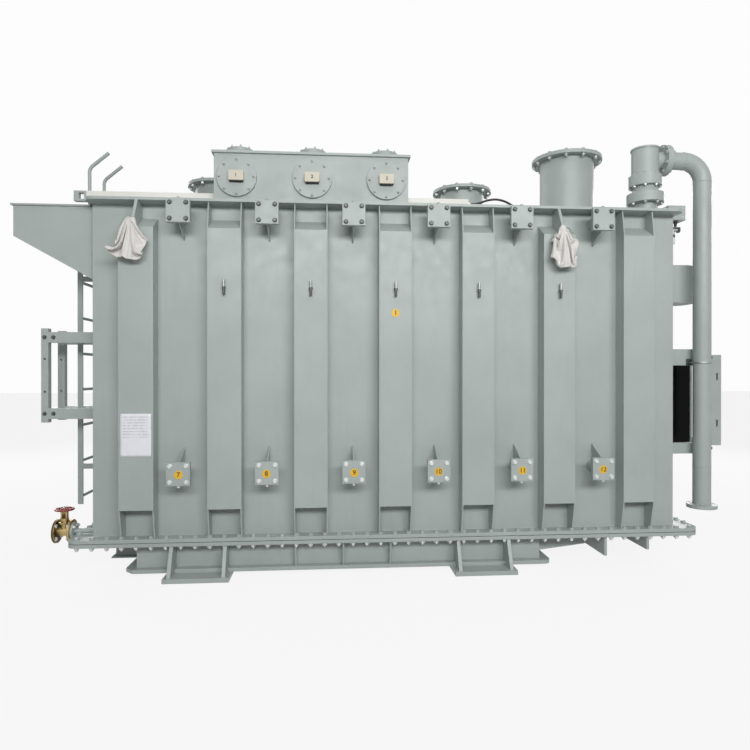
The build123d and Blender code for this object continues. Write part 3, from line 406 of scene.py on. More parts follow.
def mesh_piece(name, points, faces, finish, body=BODY, smooth=False):
    """A mesh object from points and faces that rides on a body."""
    mesh = bpy.data.meshes.new(name)
    mesh.from_pydata(points, [], faces)
    mesh.validate()
    mesh.update()
    if smooth:
        mesh.shade_smooth()
    piece = bpy.data.objects.new(name, mesh)
    bpy.context.scene.collection.objects.link(piece)
    mesh.materials.append(finish)
    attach(piece, body)
    return piece


def many(name, parts, places, finish, body=BODY):
    """The same small parts at each place, joined in one mesh."""
    points = []
    faces = []
    for place in places:
        for part_points, part_faces in parts:
            start = len(points)
            points += [place @ point for point in part_points]
            faces += [tuple(start + index for index in face) for face in part_faces]
    return mesh_piece(name, points, faces, finish, body)


def facing(point, direction, turn=0.0):
    """A placement that stands a part's +Z along direction, turned about it."""
    axis = Vector(direction)
    upright = axis.to_track_quat("Z", "Y").to_matrix().to_4x4()
    return Matrix.Translation(point) @ upright @ Matrix.Rotation(turn, 4, "Z")


chance = random.Random(7)


def any_turn():
    """A chance turn for a hexagon head or nut."""
    return chance.uniform(0, math.pi / 3)


def stand(points, direction):
    """Placements at each point, along direction, each with a chance turn."""
    return [facing(point, direction, any_turn()) for point in points]


def circle(centre, normal, pitch_circle, count, offset=0.0):
    """Points evenly round a circle about an axis along X, Y or Z."""
    centre = Vector(centre)
    axis = Vector(normal).normalized()
    across = Vector(UP) if abs(axis.z) < 0.5 else Vector(RIGHTWARD)
    side = axis.cross(across)
    points = []
    for step in range(count):
        angle = offset + 2 * math.pi * step / count
        points.append(centre + pitch_circle / 2 * (across * math.cos(angle) + side * math.sin(angle)))
    return points


# Bolts round the joint between bell and base
FLANGE_BOLT = 0.02
FLANGE_PITCH = 0.1
EDGE_DISTANCE = 0.03
CORNER = 0.08


def flange_line():
    """Bolt points along the four sides of the flange, clear of its rounded corners."""
    points = []
    x_reach = FLANGE_HIGH[0] - EDGE_DISTANCE
    y_reach = FLANGE_HIGH[1] - EDGE_DISTANCE
    x_count = round(2 * (x_reach - CORNER / 2) / FLANGE_PITCH)
    y_count = round(2 * (y_reach - CORNER / 2) / FLANGE_PITCH)
    for step in range(x_count + 1):
        x = (x_reach - CORNER / 2) * (2 * step / x_count - 1)
        points += [(x, -y_reach), (x, y_reach)]
    for step in range(1, y_count):
        y = (y_reach - CORNER / 2) * (2 * step / y_count - 1)
        points += [(-x_reach, y), (x_reach, y)]
    return points


line = flange_line()
heads = stand([(x, y, FLANGE_HIGH[2]) for x, y in line], UP)
nuts = stand([(x, y, NUT_LEVEL) for x, y in line], DOWN)
many("flange_bolt_heads", bolt_head(FLANGE_BOLT), heads, painted_bolt)
many("flange_bolt_nuts", nut_and_stud(FLANGE_BOLT), nuts, zinc)

# Bolts, vents and drain plugs of the radiator ports
PORT_BOLT = 0.016
PORT_PITCH = 0.11
PORT_PLATE = 0.16
PORT_STACK = 0.036


def port_corners(level):
    """Bolt points of one row of ports, as (X, Z)."""
    points = []
    for x in PORT_PLACES:
        for step_x in (-0.5, 0.5):
            for step_z in (-0.5, 0.5):
                points.append((x + step_x * PORT_PITCH, level + step_z * PORT_PITCH))
    return points


for level, finish, word in ((PORT_LEVELS[1], dark_bolt, "high"), (PORT_LEVELS[0], zinc, "low")):
    places = []
    backs = []
    back_y = PORT_FACE + PORT_STACK
    for x, z in port_corners(level):
        places += [facing((x, PORT_FACE, z), FORWARD, any_turn())]
        places += [facing((x, -PORT_FACE, z), BACKWARD, any_turn())]
        backs += [facing((x, back_y, z), BACKWARD, any_turn())]
        backs += [facing((x, -back_y, z), FORWARD, any_turn())]
    many(f"port_bolts_{word}", bolt_head(PORT_BOLT), places, finish)
    many(f"port_nuts_{word}", nut_and_stud(PORT_BOLT), backs, zinc)

vents = []
drains = []
for x in PORT_PLACES:
    for side in (-1, 1):
        y = side * (-PORT_FACE - PORT_STACK / 2)
        vents.append(facing((x, y, PORT_LEVELS[1] + PORT_PLATE / 2), UP, any_turn()))
        drains.append(facing((x, y, PORT_LEVELS[0] - PORT_PLATE / 2), DOWN, any_turn()))
plug = [washer(0.012, 0.004), hexagon(0.019, 0.012, 0.004)]
many("port_vent_plugs", plug, vents, painted_bolt)
many("port_drain_plugs", plug, drains, zinc)

# Nuts of the turret box's round front covers and hatches
COVER_PITCH = 0.553
COVER_CIRCLE = 0.252
HATCH_CIRCLE = 0.178
SMALL_STUD = 0.01
covers_low, covers_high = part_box("turret_covers")
COVER_FACE = covers_low[1]
COVER_LEVEL = (covers_low[2] + covers_high[2]) / 2
COVER_PLACES = [(covers_low[0] + covers_high[0]) / 2 + step * COVER_PITCH for step in (-1, 0, 1)]
places = []
for x in COVER_PLACES:
    points = circle((x, COVER_FACE, COVER_LEVEL), FORWARD, COVER_CIRCLE, 8)
    places += stand(points, FORWARD)
cover_nut = nut_and_stud(SMALL_STUD, 0.002)
many("turret_cover_nuts", cover_nut, places, painted_bolt)

hatch_low, hatch_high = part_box("hatch_covers")
hatch_y = (hatch_low[1] + hatch_high[1]) / 2
places = []
for x in COVER_PLACES:
    points = circle((x, hatch_y, hatch_high[2]), UP, HATCH_CIRCLE, 8, 0.2)
    places += stand(points, UP)
hatch_nut = nut_and_stud(SMALL_STUD, 0.002, tail=0.9)
many("hatch_nuts", hatch_nut, places, painted_bolt)

# Bolts of the necks: heads on the covers, bright nuts under the flanges
MIDDLE_NECK = (0.674, -0.05)
REAR_NECK = (-1.45, 0.2)
TALL_NECK = (1.606, -0.05)
LOW_TUBE = 0.373
TALL_TUBE = 0.453
NECK_BOLT = 0.016
NECK_BOLTS = 12
# Each neck's middle, bolt circle, height, plate thickness and name
necks = (
    (MIDDLE_NECK, 0.447, 0.323, 0.012, "middle"),
    (REAR_NECK, 0.447, 0.398, 0.012, "rear"),
    (TALL_NECK, 0.539, 0.616, 0.015, "tall"),
)
for middle, ring_size, height, thickness, word in necks:
    under = COVER_TOP + height
    top = under + 2 * thickness
    above = circle((*middle, top), UP, ring_size, NECK_BOLTS, 0.13)
    below = circle((*middle, under), UP, ring_size, NECK_BOLTS, 0.13)
    above = stand(above, UP)
    below = stand(below, DOWN)
    many(f"{word}_neck_bolts", bolt_head(NECK_BOLT), above, painted_bolt)
    many(f"{word}_neck_nuts", nut_and_stud(NECK_BOLT), below, zinc)

# Bolts of the relief stack
base_low, base_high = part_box("relief_base")
cone_low, cone_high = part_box("relief_cone")
body_low, body_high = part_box("relief_body")
RELIEF = ((base_low[0] + base_high[0]) / 2, (base_low[1] + base_high[1]) / 2)
LOW_PLATE = 0.037
HIGH_PLATE = 0.042
# Each ring's level, the way its bolts stand, its bolt circle and its name
stack = (
    (cone_low[2] + LOW_PLATE, 1, 0.236, "low_top"),
    (base_high[2] - LOW_PLATE, -1, 0.236, "low_under"),
    (cone_high[2] - HIGH_PLATE, -1, 0.214, "high_under"),
    (body_low[2] + HIGH_PLATE, 1, 0.222, "high_top"),
)
for level, sign, ring_size, word in stack:
    finish = zinc if sign < 0 else painted_bolt
    points = circle((*RELIEF, level), UP, ring_size, 8, 0.3)
    parts = nut_and_stud(0.012, 0.002) if sign < 0 else bolt_head(0.012, 0.002)
    many(f"relief_{word}", parts, stand(points, (0, 0, sign)), finish)

OUTLET_PLATE = 0.023
OUTLET_REACH = 0.118
outlet_face = body_high[0]
outlet_level = body_high[2] - OUTLET_REACH
for sign, word in ((-1, "inner"), (1, "outer")):
    centre = (outlet_face + sign * OUTLET_PLATE, RELIEF[1], outlet_level)
    places = stand(circle(centre, RIGHTWARD, 0.2, 8, math.pi / 8), (sign, 0, 0))
    parts = nut_and_stud(0.014, 0.002) if sign > 0 else bolt_head(0.014, 0.002)
    many(f"outlet_{word}_bolts", parts, places, painted_bolt)


# Weld beads: a rippled fillet along a straight seam, or round a pipe
BEAD = 0.004
PIPE_BEAD = 0.003
FINE_SPACING = 0.014
AT_ORIGIN = [Matrix.Identity(4)]


def bead(points, size, closed=False):
    """A small rippled tube of six sides along close points."""
    made_points = []
    faces = []
    sides = 6
    end = len(points) - 1
    for index, point in enumerate(points):
        ahead = points[(index + 1) % len(points)] if closed else points[min(index + 1, end)]
        behind = points[index - 1] if closed or index else points[0]
        along = (ahead - behind).normalized()
        side = along.orthogonal().normalized()
        up = along.cross(side)
        radius = size * (1 + 0.12 * math.sin(index * 2.1) + 0.05 * chance.uniform(-1, 1))
        for step in range(sides):
            angle = 2 * math.pi * step / sides
            made_points.append(point + radius * (side * math.cos(angle) + up * math.sin(angle)))
    for row in range(len(points) if closed else end):
        after = (row + 1) % len(points)
        faces += row_of_faces(row, after, sides)
    if not closed:
        last = end * sides
        faces.append(tuple(reversed(range(sides))))
        faces.append(tuple(range(last, last + sides)))
    return made_points, faces


def seam(start, end, size=BEAD, spacing=0.02):
    """A bead along a straight line."""
    start = Vector(start)
    end = Vector(end)
    count = max(2, int((end - start).length / spacing))
    return bead([start.lerp(end, step / count) for step in range(count + 1)], size)


def ring_seam(centre, normal, diameter, size=BEAD, spacing=0.02):
    """A bead round a pipe."""
    count = int(math.pi * diameter / spacing)
    return bead(circle(centre, normal, diameter, count), size, closed=True)


LUG_RIB_DROP = 0.105
wall_bottom = FLANGE_HIGH[2]
rib_seams = []
for side in (-1, 1):
    y = -side * WALL_Y
    for x in RIB_PLACES:
        top = COVER_BOTTOM - (LUG_RIB_DROP if x in LUG_RIBS else 0.0)
        for edge in (-1, 1):
            foot = x + edge * (RIB_WIDTH / 2)
            rib_seams.append(seam((foot, y, wall_bottom), (foot, y, top)))
    for level in (wall_bottom, COVER_BOTTOM):
        rib_seams.append(seam((LEFT, y, level), (RIGHT, y, level)))
many("rib_welds", rib_seams, AT_ORIGIN, finishes["tank_paint"])

PORT_PIPE = 0.089
port_seams = []
for x in PORT_PLACES:
    for level in PORT_LEVELS:
        for y in (WALL_Y, -WALL_Y):
            port_seams.append(ring_seam((x, y, level), BACKWARD, PORT_PIPE, BEAD, FINE_SPACING))
many("port_welds", port_seams, AT_ORIGIN, finishes["tank_paint"])

pipe_low, pipe_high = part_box("discharge_pipe")
PIPE_FLANGE_RADIUS = 0.111
PIPE_FLANGE = 0.028
PIPE_X = pipe_high[0] - PIPE_FLANGE_RADIUS
PIPE_Y = RELIEF[1]
PIPE = 0.133
BEND = 0.165
# Each seam's middle, its pipe's direction and its bead
pipe_rings = (
    ((PIPE_X, PIPE_Y, 0.702), UP, PIPE_BEAD),
    ((PIPE_X, PIPE_Y, 1.515), UP, PIPE_BEAD),
    ((PIPE_X, PIPE_Y, outlet_level - BEND), UP, PIPE_BEAD),
    ((PIPE_X - BEND, PIPE_Y, outlet_level), RIGHTWARD, PIPE_BEAD),
    ((PIPE_X, PIPE_Y, pipe_low[2] + PIPE_FLANGE), UP, BEAD),
)
seams = [ring_seam(middle, way, PIPE, size, FINE_SPACING) for middle, way, size in pipe_rings]
many("pipe_welds", seams, AT_ORIGIN, finishes["tank_paint"])

RELIEF_PIPE = 0.168
neck_tubes = (
    (MIDDLE_NECK, LOW_TUBE),
    (REAR_NECK, LOW_TUBE),
    (TALL_NECK, TALL_TUBE),
    (RELIEF, RELIEF_PIPE),
)
neck_seams = [ring_seam((*middle, COVER_TOP), UP, tube) for middle, tube in neck_tubes]
many("neck_welds", neck_seams, AT_ORIGIN, finishes["tank_paint"])

# Yellow number discs on the lower ports and one on the middle rib
DISC = 0.029
DISC_NUMBER = 0.046
TAG_NUMBER = 0.036
ABOVE_DISC = 0.0014
ABOVE_TAG = 0.0006


def number(text, centre, height, word):
    """A plain number, flat against the front, at centre."""
    curve = bpy.data.curves.new(f"{word}_{text}", "FONT")
    curve.body = text
    curve.size = height
    curve.align_x = "CENTER"
    curve.align_y = "CENTER"
    curve.extrude = 0.0004
    curve.offset = 0.0006
    shape = bpy.data.objects.new(f"{word}_{text}", curve)
    bpy.context.scene.collection.objects.link(shape)
    bpy.context.view_layer.update()
    mesh = bpy.data.meshes.new_from_object(shape)
    bpy.data.objects.remove(shape)
    mesh.transform(Matrix.Translation(centre) @ Matrix.Rotation(math.pi / 2, 4, "X"))
    piece = bpy.data.objects.new(f"{word}_{text}", mesh)
    bpy.context.scene.collection.objects.link(piece)
    mesh.materials.clear()
    mesh.materials.append(black_ink)
    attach(piece, BODY)


disc_part = [turned([(DISC, 0.0), (DISC, 0.0008), (DISC - 0.0008, 0.0012)], 48)]
disc_places = []
for index, x in enumerate(PORT_PLACES):
    spot = (x + 0.003 * (-1) ** index, PORT_FACE, PORT_LEVELS[0] - 0.004)
    disc_places.append(facing(spot, FORWARD))
    number(str(index + 7), (spot[0], PORT_FACE - ABOVE_DISC, spot[2]), DISC_NUMBER, "number")
rib_spot = (0.0, RIB_FACE, 1.864)
disc_places.append(facing(rib_spot, FORWARD))
number("1", (rib_spot[0], RIB_FACE - ABOVE_DISC, rib_spot[2]), DISC_NUMBER, "number")
many("number_discs", disc_part, disc_places, yellow)

# Numbers on the three tags of the turret covers
tags_low, tags_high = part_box("phase_tags")
TAG_LEVEL = (tags_low[2] + tags_high[2]) / 2
for index, x in enumerate(COVER_PLACES):
    number(str(index + 1), (x, tags_low[1] - ABOVE_TAG, TAG_LEVEL), TAG_NUMBER, "tag")


# Small pieces at the two ends, each on the solid that carries it
def plate(x_range, y_range, z_range, bevel=0.002):
    """Points and faces of a block with its upright edges cut by bevel."""
    (x0, x1), (y0, y1), (z0, z1) = x_range, y_range, z_range
    ring = [
        (x0 + bevel, y0), (x1 - bevel, y0), (x1, y0 + bevel), (x1, y1 - bevel),
        (x1 - bevel, y1), (x0 + bevel, y1), (x0, y1 - bevel), (x0, y0 + bevel),
    ]
    points = [Vector((x, y, z)) for z in (z0, z1) for x, y in ring]
    count = len(ring)
    faces = [(i, (i + 1) % count, count + (i + 1) % count, count + i) for i in range(count)]
    faces.append(tuple(reversed(range(count))))
    faces.append(tuple(range(count, 2 * count)))
    return points, faces


uprights_low, uprights_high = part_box("frame_uprights")
FRAME_BAR = 0.05
FRAME_NEAR = WALL_Y + 0.16
FRAME_FAR = WALL_Y + 0.43
LEFT_UPRIGHT = uprights_low[0] + FRAME_BAR / 2
BOLT_STEP = 0.062
LEFT_ARM_LEVELS = (1.141, 1.697)
places = []
backs = []
for y in (FRAME_NEAR, FRAME_FAR):
    for z in LEFT_ARM_LEVELS:
        for x in (LEFT_UPRIGHT, LEFT_UPRIGHT + BOLT_STEP):
            places.append(facing((x, y, z), FORWARD, any_turn()))
            backs.append(facing((x, y + FRAME_BAR, z), BACKWARD, any_turn()))
many("left_frame_bolts", bolt_head(0.014, 0.003), places, dark_bolt)
many("left_frame_nuts", nut_and_stud(0.014, 0.003), backs, dark_bolt)

RIGHT_ARM_FRONT = -0.574
RIGHT_ARM_LEVELS = (0.8345, 1.563)
places = []
for z in RIGHT_ARM_LEVELS:
    for x in (RIGHT + 0.035, uprights_high[0] - 0.128):
        places.append(facing((x, RIGHT_ARM_FRONT, z), FORWARD, any_turn()))
many("right_frame_bolts", bolt_head(0.016, 0.003), places, dark_bolt)

# Nuts and a lug where the pipe clamp meets its arm
clamp_low, clamp_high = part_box("pipe_clamp")
CLAMP_LEVEL = (clamp_low[2] + clamp_high[2]) / 2
CLAMP_ROD = 0.01
LUG_FRONT = RIGHT_ARM_FRONT - 0.012
lug_depth = (LUG_FRONT, RIGHT_ARM_FRONT)
lug_height = (CLAMP_LEVEL - 0.022, CLAMP_LEVEL + 0.03)
clamp_legs = (clamp_low[0] + CLAMP_ROD / 2, clamp_high[0] - CLAMP_ROD / 2)
lugs = [plate((x - 0.02, x + 0.02), lug_depth, lug_height) for x in clamp_legs]
places = stand([(x, LUG_FRONT, CLAMP_LEVEL) for x in clamp_legs], FORWARD)
clamp_nut = [washer(0.012, 0.003), hexagon(0.02, 0.012, 0.003)]
many("clamp_lugs", lugs, AT_ORIGIN, dark_bolt)
many("clamp_nuts", clamp_nut, places, dark_bolt)

# Glands under the junction box, and small screws on its front
GLAND_PLACES = (2.215, 2.262, 2.309)
SCREW_PLACES = (2.19, 2.335)
box_low, box_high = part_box("junction_box")
box_middle = (box_low[1] + box_high[1]) / 2
glands = [turned([(0.017, 0.0), (0.017, 0.012), (0.012, 0.016), (0.012, 0.034), (0.008, 0.04)], 12)]
places = [facing((x, box_middle, box_low[2]), DOWN) for x in GLAND_PLACES]
many("junction_glands", glands, places, black_plastic_and_shade)
places = []
for x in SCREW_PLACES:
    for z in (box_low[2] + 0.025, box_high[2] - 0.02):
        places.append(facing((x, box_low[1] + 0.0015, z), FORWARD, any_turn()))
screw = turned([(0.006, 0.0), (0.006, 0.002), (0.004, 0.0035)], 14)
many("junction_screws", [screw], places, zinc)

# Angle fitting: nuts on both legs, a lever plate and a pale sleeve
fitting_low, fitting_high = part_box("end_fitting")
FITTING = (RIGHT + 0.049, (fitting_low[1] + fitting_high[1]) / 2)
FITTING_TOP = fitting_high[2]
FITTING_AXIS = FITTING_TOP - 0.014
ring = [turned([(0.026, 0.0), (0.03, 0.003), (0.03, 0.012), (0.026, 0.015)], 24)]
places = [facing((RIGHT, FITTING[1], FITTING_AXIS), RIGHTWARD)]
many("fitting_wall_flange", ring, places, zinc)
collars = [
    facing((fitting_high[0] - 0.012, FITTING[1], FITTING_AXIS), RIGHTWARD),
    facing((*FITTING, FITTING_TOP - 0.052), DOWN),
]
many("fitting_nuts", [hexagon(0.038, 0.018)], collars, dark_bolt)
lever = plate(
    (FITTING[0] - 0.02, FITTING[0] + 0.062),
    (FITTING[1] - 0.011, FITTING[1] + 0.011),
    (FITTING_TOP, FITTING_TOP + 0.008),
    0.006,
)
many("fitting_lever", [lever], AT_ORIGIN, dark_bolt)
sleeve_profile = [
    (0.012, -0.012), (0.0165, -0.012), (0.0175, -0.009),
    (0.0175, 0.032), (0.016, 0.035), (0.0145, 0.035),
]
places = [facing((*FITTING, fitting_low[2]), UP)]
many("fitting_sleeve", [turned(sleeve_profile, 24)], places, pale_plastic)

# Black conduit down the right end wall, in clips
CONDUIT = (RIGHT + 0.011, FITTING[1] + 0.03)
runs = []
for low, high in ((1.66, 1.94), (1.955, 2.44)):
    profile = [(0.0095, low), (0.011, low + 0.003), (0.011, high - 0.003), (0.0095, high)]
    runs.append(turned(profile, 16))
many("wall_conduit", runs, [Matrix.Translation((*CONDUIT, 0.0))], black_plastic_and_shade)
clip = turned([(0.014, 0.0), (0.014, 0.014)], 16)
clips = [Matrix.Translation((*CONDUIT, z)) for z in (1.7, 1.9405, 2.15, 2.38)]
many("conduit_clips", [clip], clips, zinc)

# Dark lower ends of the earthing pins, and a nut on each
PIN_STAND_OFF = 0.022
pin_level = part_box("rib_pins")[0][2]
tips = []
for x in RIB_PLACES[1:6]:
    for side in (-1, 1):
        tips.append(Matrix.Translation((x, side * (-RIB_FACE + PIN_STAND_OFF), pin_level)))
tip = [
    turned([(0.005, -0.012), (0.0088, -0.008), (0.0088, 0.03), (0.0082, 0.032)], 16),
    hexagon(0.024, 0.012, 0.034),
]
many("pin_tips", tip, tips, dark_bolt)

# Black strips under the tags: painted shade for the tags' dark undersides
shade_plate_depth = (tags_low[1] + 0.001, tags_high[1])
shade_plate_height = (tags_low[2] - 0.006, tags_low[2] + 0.001)
shade_plates = [plate((x - 0.05, x + 0.05), shade_plate_depth, shade_plate_height) for x in COVER_PLACES]
many("tag_shade_plates", shade_plates, AT_ORIGIN, black_plastic_and_shade)

# Gate valve: painted shade as dark rings on both flange faces and round the outer flange's rim; the
# flanges' bolts, bonnet ring, gland and the wheel's nut
valve_low, valve_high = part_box("valve_body")
VALVE_OUTER = valve_low[0]
VALVE_INNER = valve_high[0]
VALVE_Y = (valve_low[1] + valve_high[1]) / 2
VALVE_LEVEL = 0.305
VALVE_X = (VALVE_OUTER + VALVE_INNER) / 2
YOKE = 0.044
BONNET_TOP = valve_high[2] - YOKE
VALVE_FLANGE = 0.0825
VALVE_PLATE = 0.016
VALVE_BOLT = 0.014
STUB_PLATE = 0.014
FACE_SHADE_RING = (0.035, 0.073, 0.0012)


def annulus(inner, outer, depth, sides=48):
    """A flat ring about +Z, from height 0 to depth."""
    points = []
    faces = []
    profile = ((inner, 0.0), (outer, 0.0), (outer, depth), (inner, depth))
    for radius, height in profile:
        for step in range(sides):
            angle = 2 * math.pi * step / sides
            points.append(Vector((radius * math.cos(angle), radius * math.sin(angle), height)))
    for row in range(4):
        faces += row_of_faces(row, (row + 1) % 4, sides)
    return points, faces


OUTER_FACE = VALVE_OUTER + VALVE_PLATE
INNER_FACE = VALVE_INNER - VALVE_PLATE
outer_face = facing((OUTER_FACE, VALVE_Y, VALVE_LEVEL), RIGHTWARD)
outer_edge = facing((VALVE_OUTER + 0.001, VALVE_Y, VALVE_LEVEL), RIGHTWARD)
inner_face = facing((INNER_FACE, VALVE_Y, VALVE_LEVEL), LEFTWARD)
rim_shade_ring = annulus(VALVE_FLANGE - 0.002, VALVE_FLANGE + 0.0012, 0.012)
# Painted shade: dark rings on the flange faces and the outer rim leave a bright band near the
# flange's edge
many("valve_face_shade_outer", [annulus(*FACE_SHADE_RING)], [outer_face], dark_brass_and_shade)
many("valve_face_shade_inner", [annulus(*FACE_SHADE_RING)], [inner_face], dark_brass_and_shade)
many("valve_rim_shade_outer", [rim_shade_ring], [outer_edge], dark_brass_and_shade)


def flange_bolts(x, pitch_circle, direction):
    """Placements of four bolts on the drain line's axis, at x."""
    points = circle((0, VALVE_Y, VALVE_LEVEL), RIGHTWARD, pitch_circle, 4, math.pi / 4)
    return stand([(x, point.y, point.z) for point in points], (direction, 0, 0))


inner_places = flange_bolts(INNER_FACE, 0.125, -1)
outer_places = flange_bolts(OUTER_FACE, 0.125, 1)
stub_places = flange_bolts(VALVE_INNER + STUB_PLATE, 0.098, 1)
many("valve_outer_bolts", bolt_head(VALVE_BOLT, 0.002), outer_places, zinc)
many("valve_inner_bolts", bolt_head(VALVE_BOLT, 0.002), inner_places, zinc)
many("stub_nuts", nut_and_stud(VALVE_BOLT, 0.002), stub_places, zinc)

BONNET_IN = 0.031
BONNET_OUT = 0.041
ring_level = VALVE_LEVEL + 0.052
ring_place = [Matrix.Translation((VALVE_X, VALVE_Y, ring_level))]
ring = turned([(BONNET_IN, 0.0), (BONNET_OUT, 0.003), (BONNET_OUT, 0.016), (BONNET_IN, 0.018)], 32)
many("bonnet_ring", [ring], ring_place, finishes["valve_brass"])
ring_bolts = circle((VALVE_X, VALVE_Y, ring_level + 0.0165), UP, 0.068, 6, 0.4)
places = stand(ring_bolts, UP)
many("bonnet_bolts", [hexagon(0.009, 0.006)], places, dark_brass_and_shade)
many(
    "stem_gland",
    [annulus(0.0065, 0.0105, 0.008, 24), annulus(0.0065, 0.0085, 0.014, 24)],
    [Matrix.Translation((VALVE_X, VALVE_Y, BONNET_TOP))],
    dark_brass_and_shade,
)
many(
    "wheel_nut",
    [washer(0.01, 0.002), hexagon(0.016, 0.008, 0.002), stud(0.005, 0.006, 0.01)],
    [Matrix.Translation((VALVE_X, VALVE_Y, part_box("handwheel")[1][2]))],
    zinc,
    "wheel",
)

# The printed sheet stuck to the first rib
SHEET_LEFT = -1.905
SHEET_WIDTH = 0.21
SHEET_LOW = 0.86
SHEET_HEIGHT = 0.297


def paper():
    """A thin sheet with slight waves and a lifted corner."""
    columns = 12
    rows = 16
    points = []
    for row in range(rows + 1):
        for column in range(columns + 1):
            u = column / columns
            v = row / rows
            lift = 0.0012 + 0.0015 * math.sin(3.1 * u + 2.3 * v) ** 2
            curl = 0.036 * max(0.0, u - v - 0.6) ** 2
            across = SHEET_LEFT + SHEET_WIDTH * u
            points.append((across, RIB_FACE - lift - curl, SHEET_LOW + SHEET_HEIGHT * v))
    faces = grid_faces(rows, columns)
    finish = printed_sheet("printed_sheet")
    piece = mesh_piece("sheet_on_rib", points, faces, finish, smooth=True)
    thick = piece.modifiers.new("thickness", "SOLIDIFY")
    thick.thickness = 0.0008
    thick.offset = 1.0


paper()

# The cable from the tray to the tall neck, along the same points as its solid
CABLE = 0.017
TRAY_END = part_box("cable_tray")[1][0]
TRAY_Y = -0.55
CABLE_LEVEL = 2.758
RESTING = COVER_TOP + CABLE / 2 + 0.001
START = TRAY_END + 0.026
NECK_X, NECK_Y = TALL_NECK
NECK_SIDE = NECK_X - TALL_TUBE / 2 - 0.026
cable_points = [
    (START, TRAY_Y, CABLE_LEVEL),
    (START + 0.055, TRAY_Y, CABLE_LEVEL),
    (START + 0.14, TRAY_Y + 0.002, CABLE_LEVEL + 0.036),
    (START + 0.228, TRAY_Y + 0.009, CABLE_LEVEL + 0.046),
    (START + 0.314, TRAY_Y + 0.022, CABLE_LEVEL + 0.022),
    (START + 0.392, TRAY_Y + 0.046, CABLE_LEVEL - 0.022),
    (START + 0.458, TRAY_Y + 0.084, CABLE_LEVEL - 0.066),
    (START + 0.524, TRAY_Y + 0.134, RESTING + 0.012),
    (START + 0.59, TRAY_Y + 0.2, RESTING),
    (START + 0.632, TRAY_Y + 0.292, RESTING + 0.004),
    (NECK_SIDE - 0.078, NECK_Y - 0.118, CABLE_LEVEL - 0.058),
    (NECK_SIDE - 0.066, NECK_Y - 0.03, CABLE_LEVEL - 0.01),
    (NECK_SIDE - 0.034, NECK_Y, CABLE_LEVEL),
    (NECK_SIDE, NECK_Y, CABLE_LEVEL),
]


def cable():
    """A smooth tube along the cable's points."""
    curve = bpy.data.curves.new("neck_cable", "CURVE")
    curve.dimensions = "3D"
    curve.bevel_depth = CABLE / 2
    curve.bevel_resolution = 5
    curve.use_fill_caps = True
    curve.resolution_u = 8
    spline = curve.splines.new("NURBS")
    spline.points.add(len(cable_points) - 1)
    for point, place in zip(spline.points, cable_points):
        point.co = (*place, 1.0)
    spline.order_u = 3
    spline.use_endpoint_u = True
    piece = bpy.data.objects.new("neck_cable", curve)
    bpy.context.scene.collection.objects.link(piece)
    curve.materials.append(finishes["cable_sheath"])
    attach(piece, BODY)
    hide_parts("tray_cable")
    return piece


neck_cable = cable()

# Cloths that hang from the noses of the two front lugs
RAG = 0.38
RAG_CELLS = 40
RAG_HOOK = 0.08
RAG_FRAMES = 40
PIN_REACH = 0.016
LUG_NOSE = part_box("front_lugs")[0][1]


def lug_copy(nodes_to_copy):
    """Temporary colliders with the shape of the named nodes."""
    made = []
    for name in nodes_to_copy:
        collider = bpy.data.objects.new(f"collider_{name}", nodes[name].data.copy())
        bpy.context.scene.collection.objects.link(collider)
        collider.modifiers.new("collision", "COLLISION")
        collider.collision.thickness_outer = 0.003
        collider.collision.cloth_friction = 40
        made.append(collider)
    return made


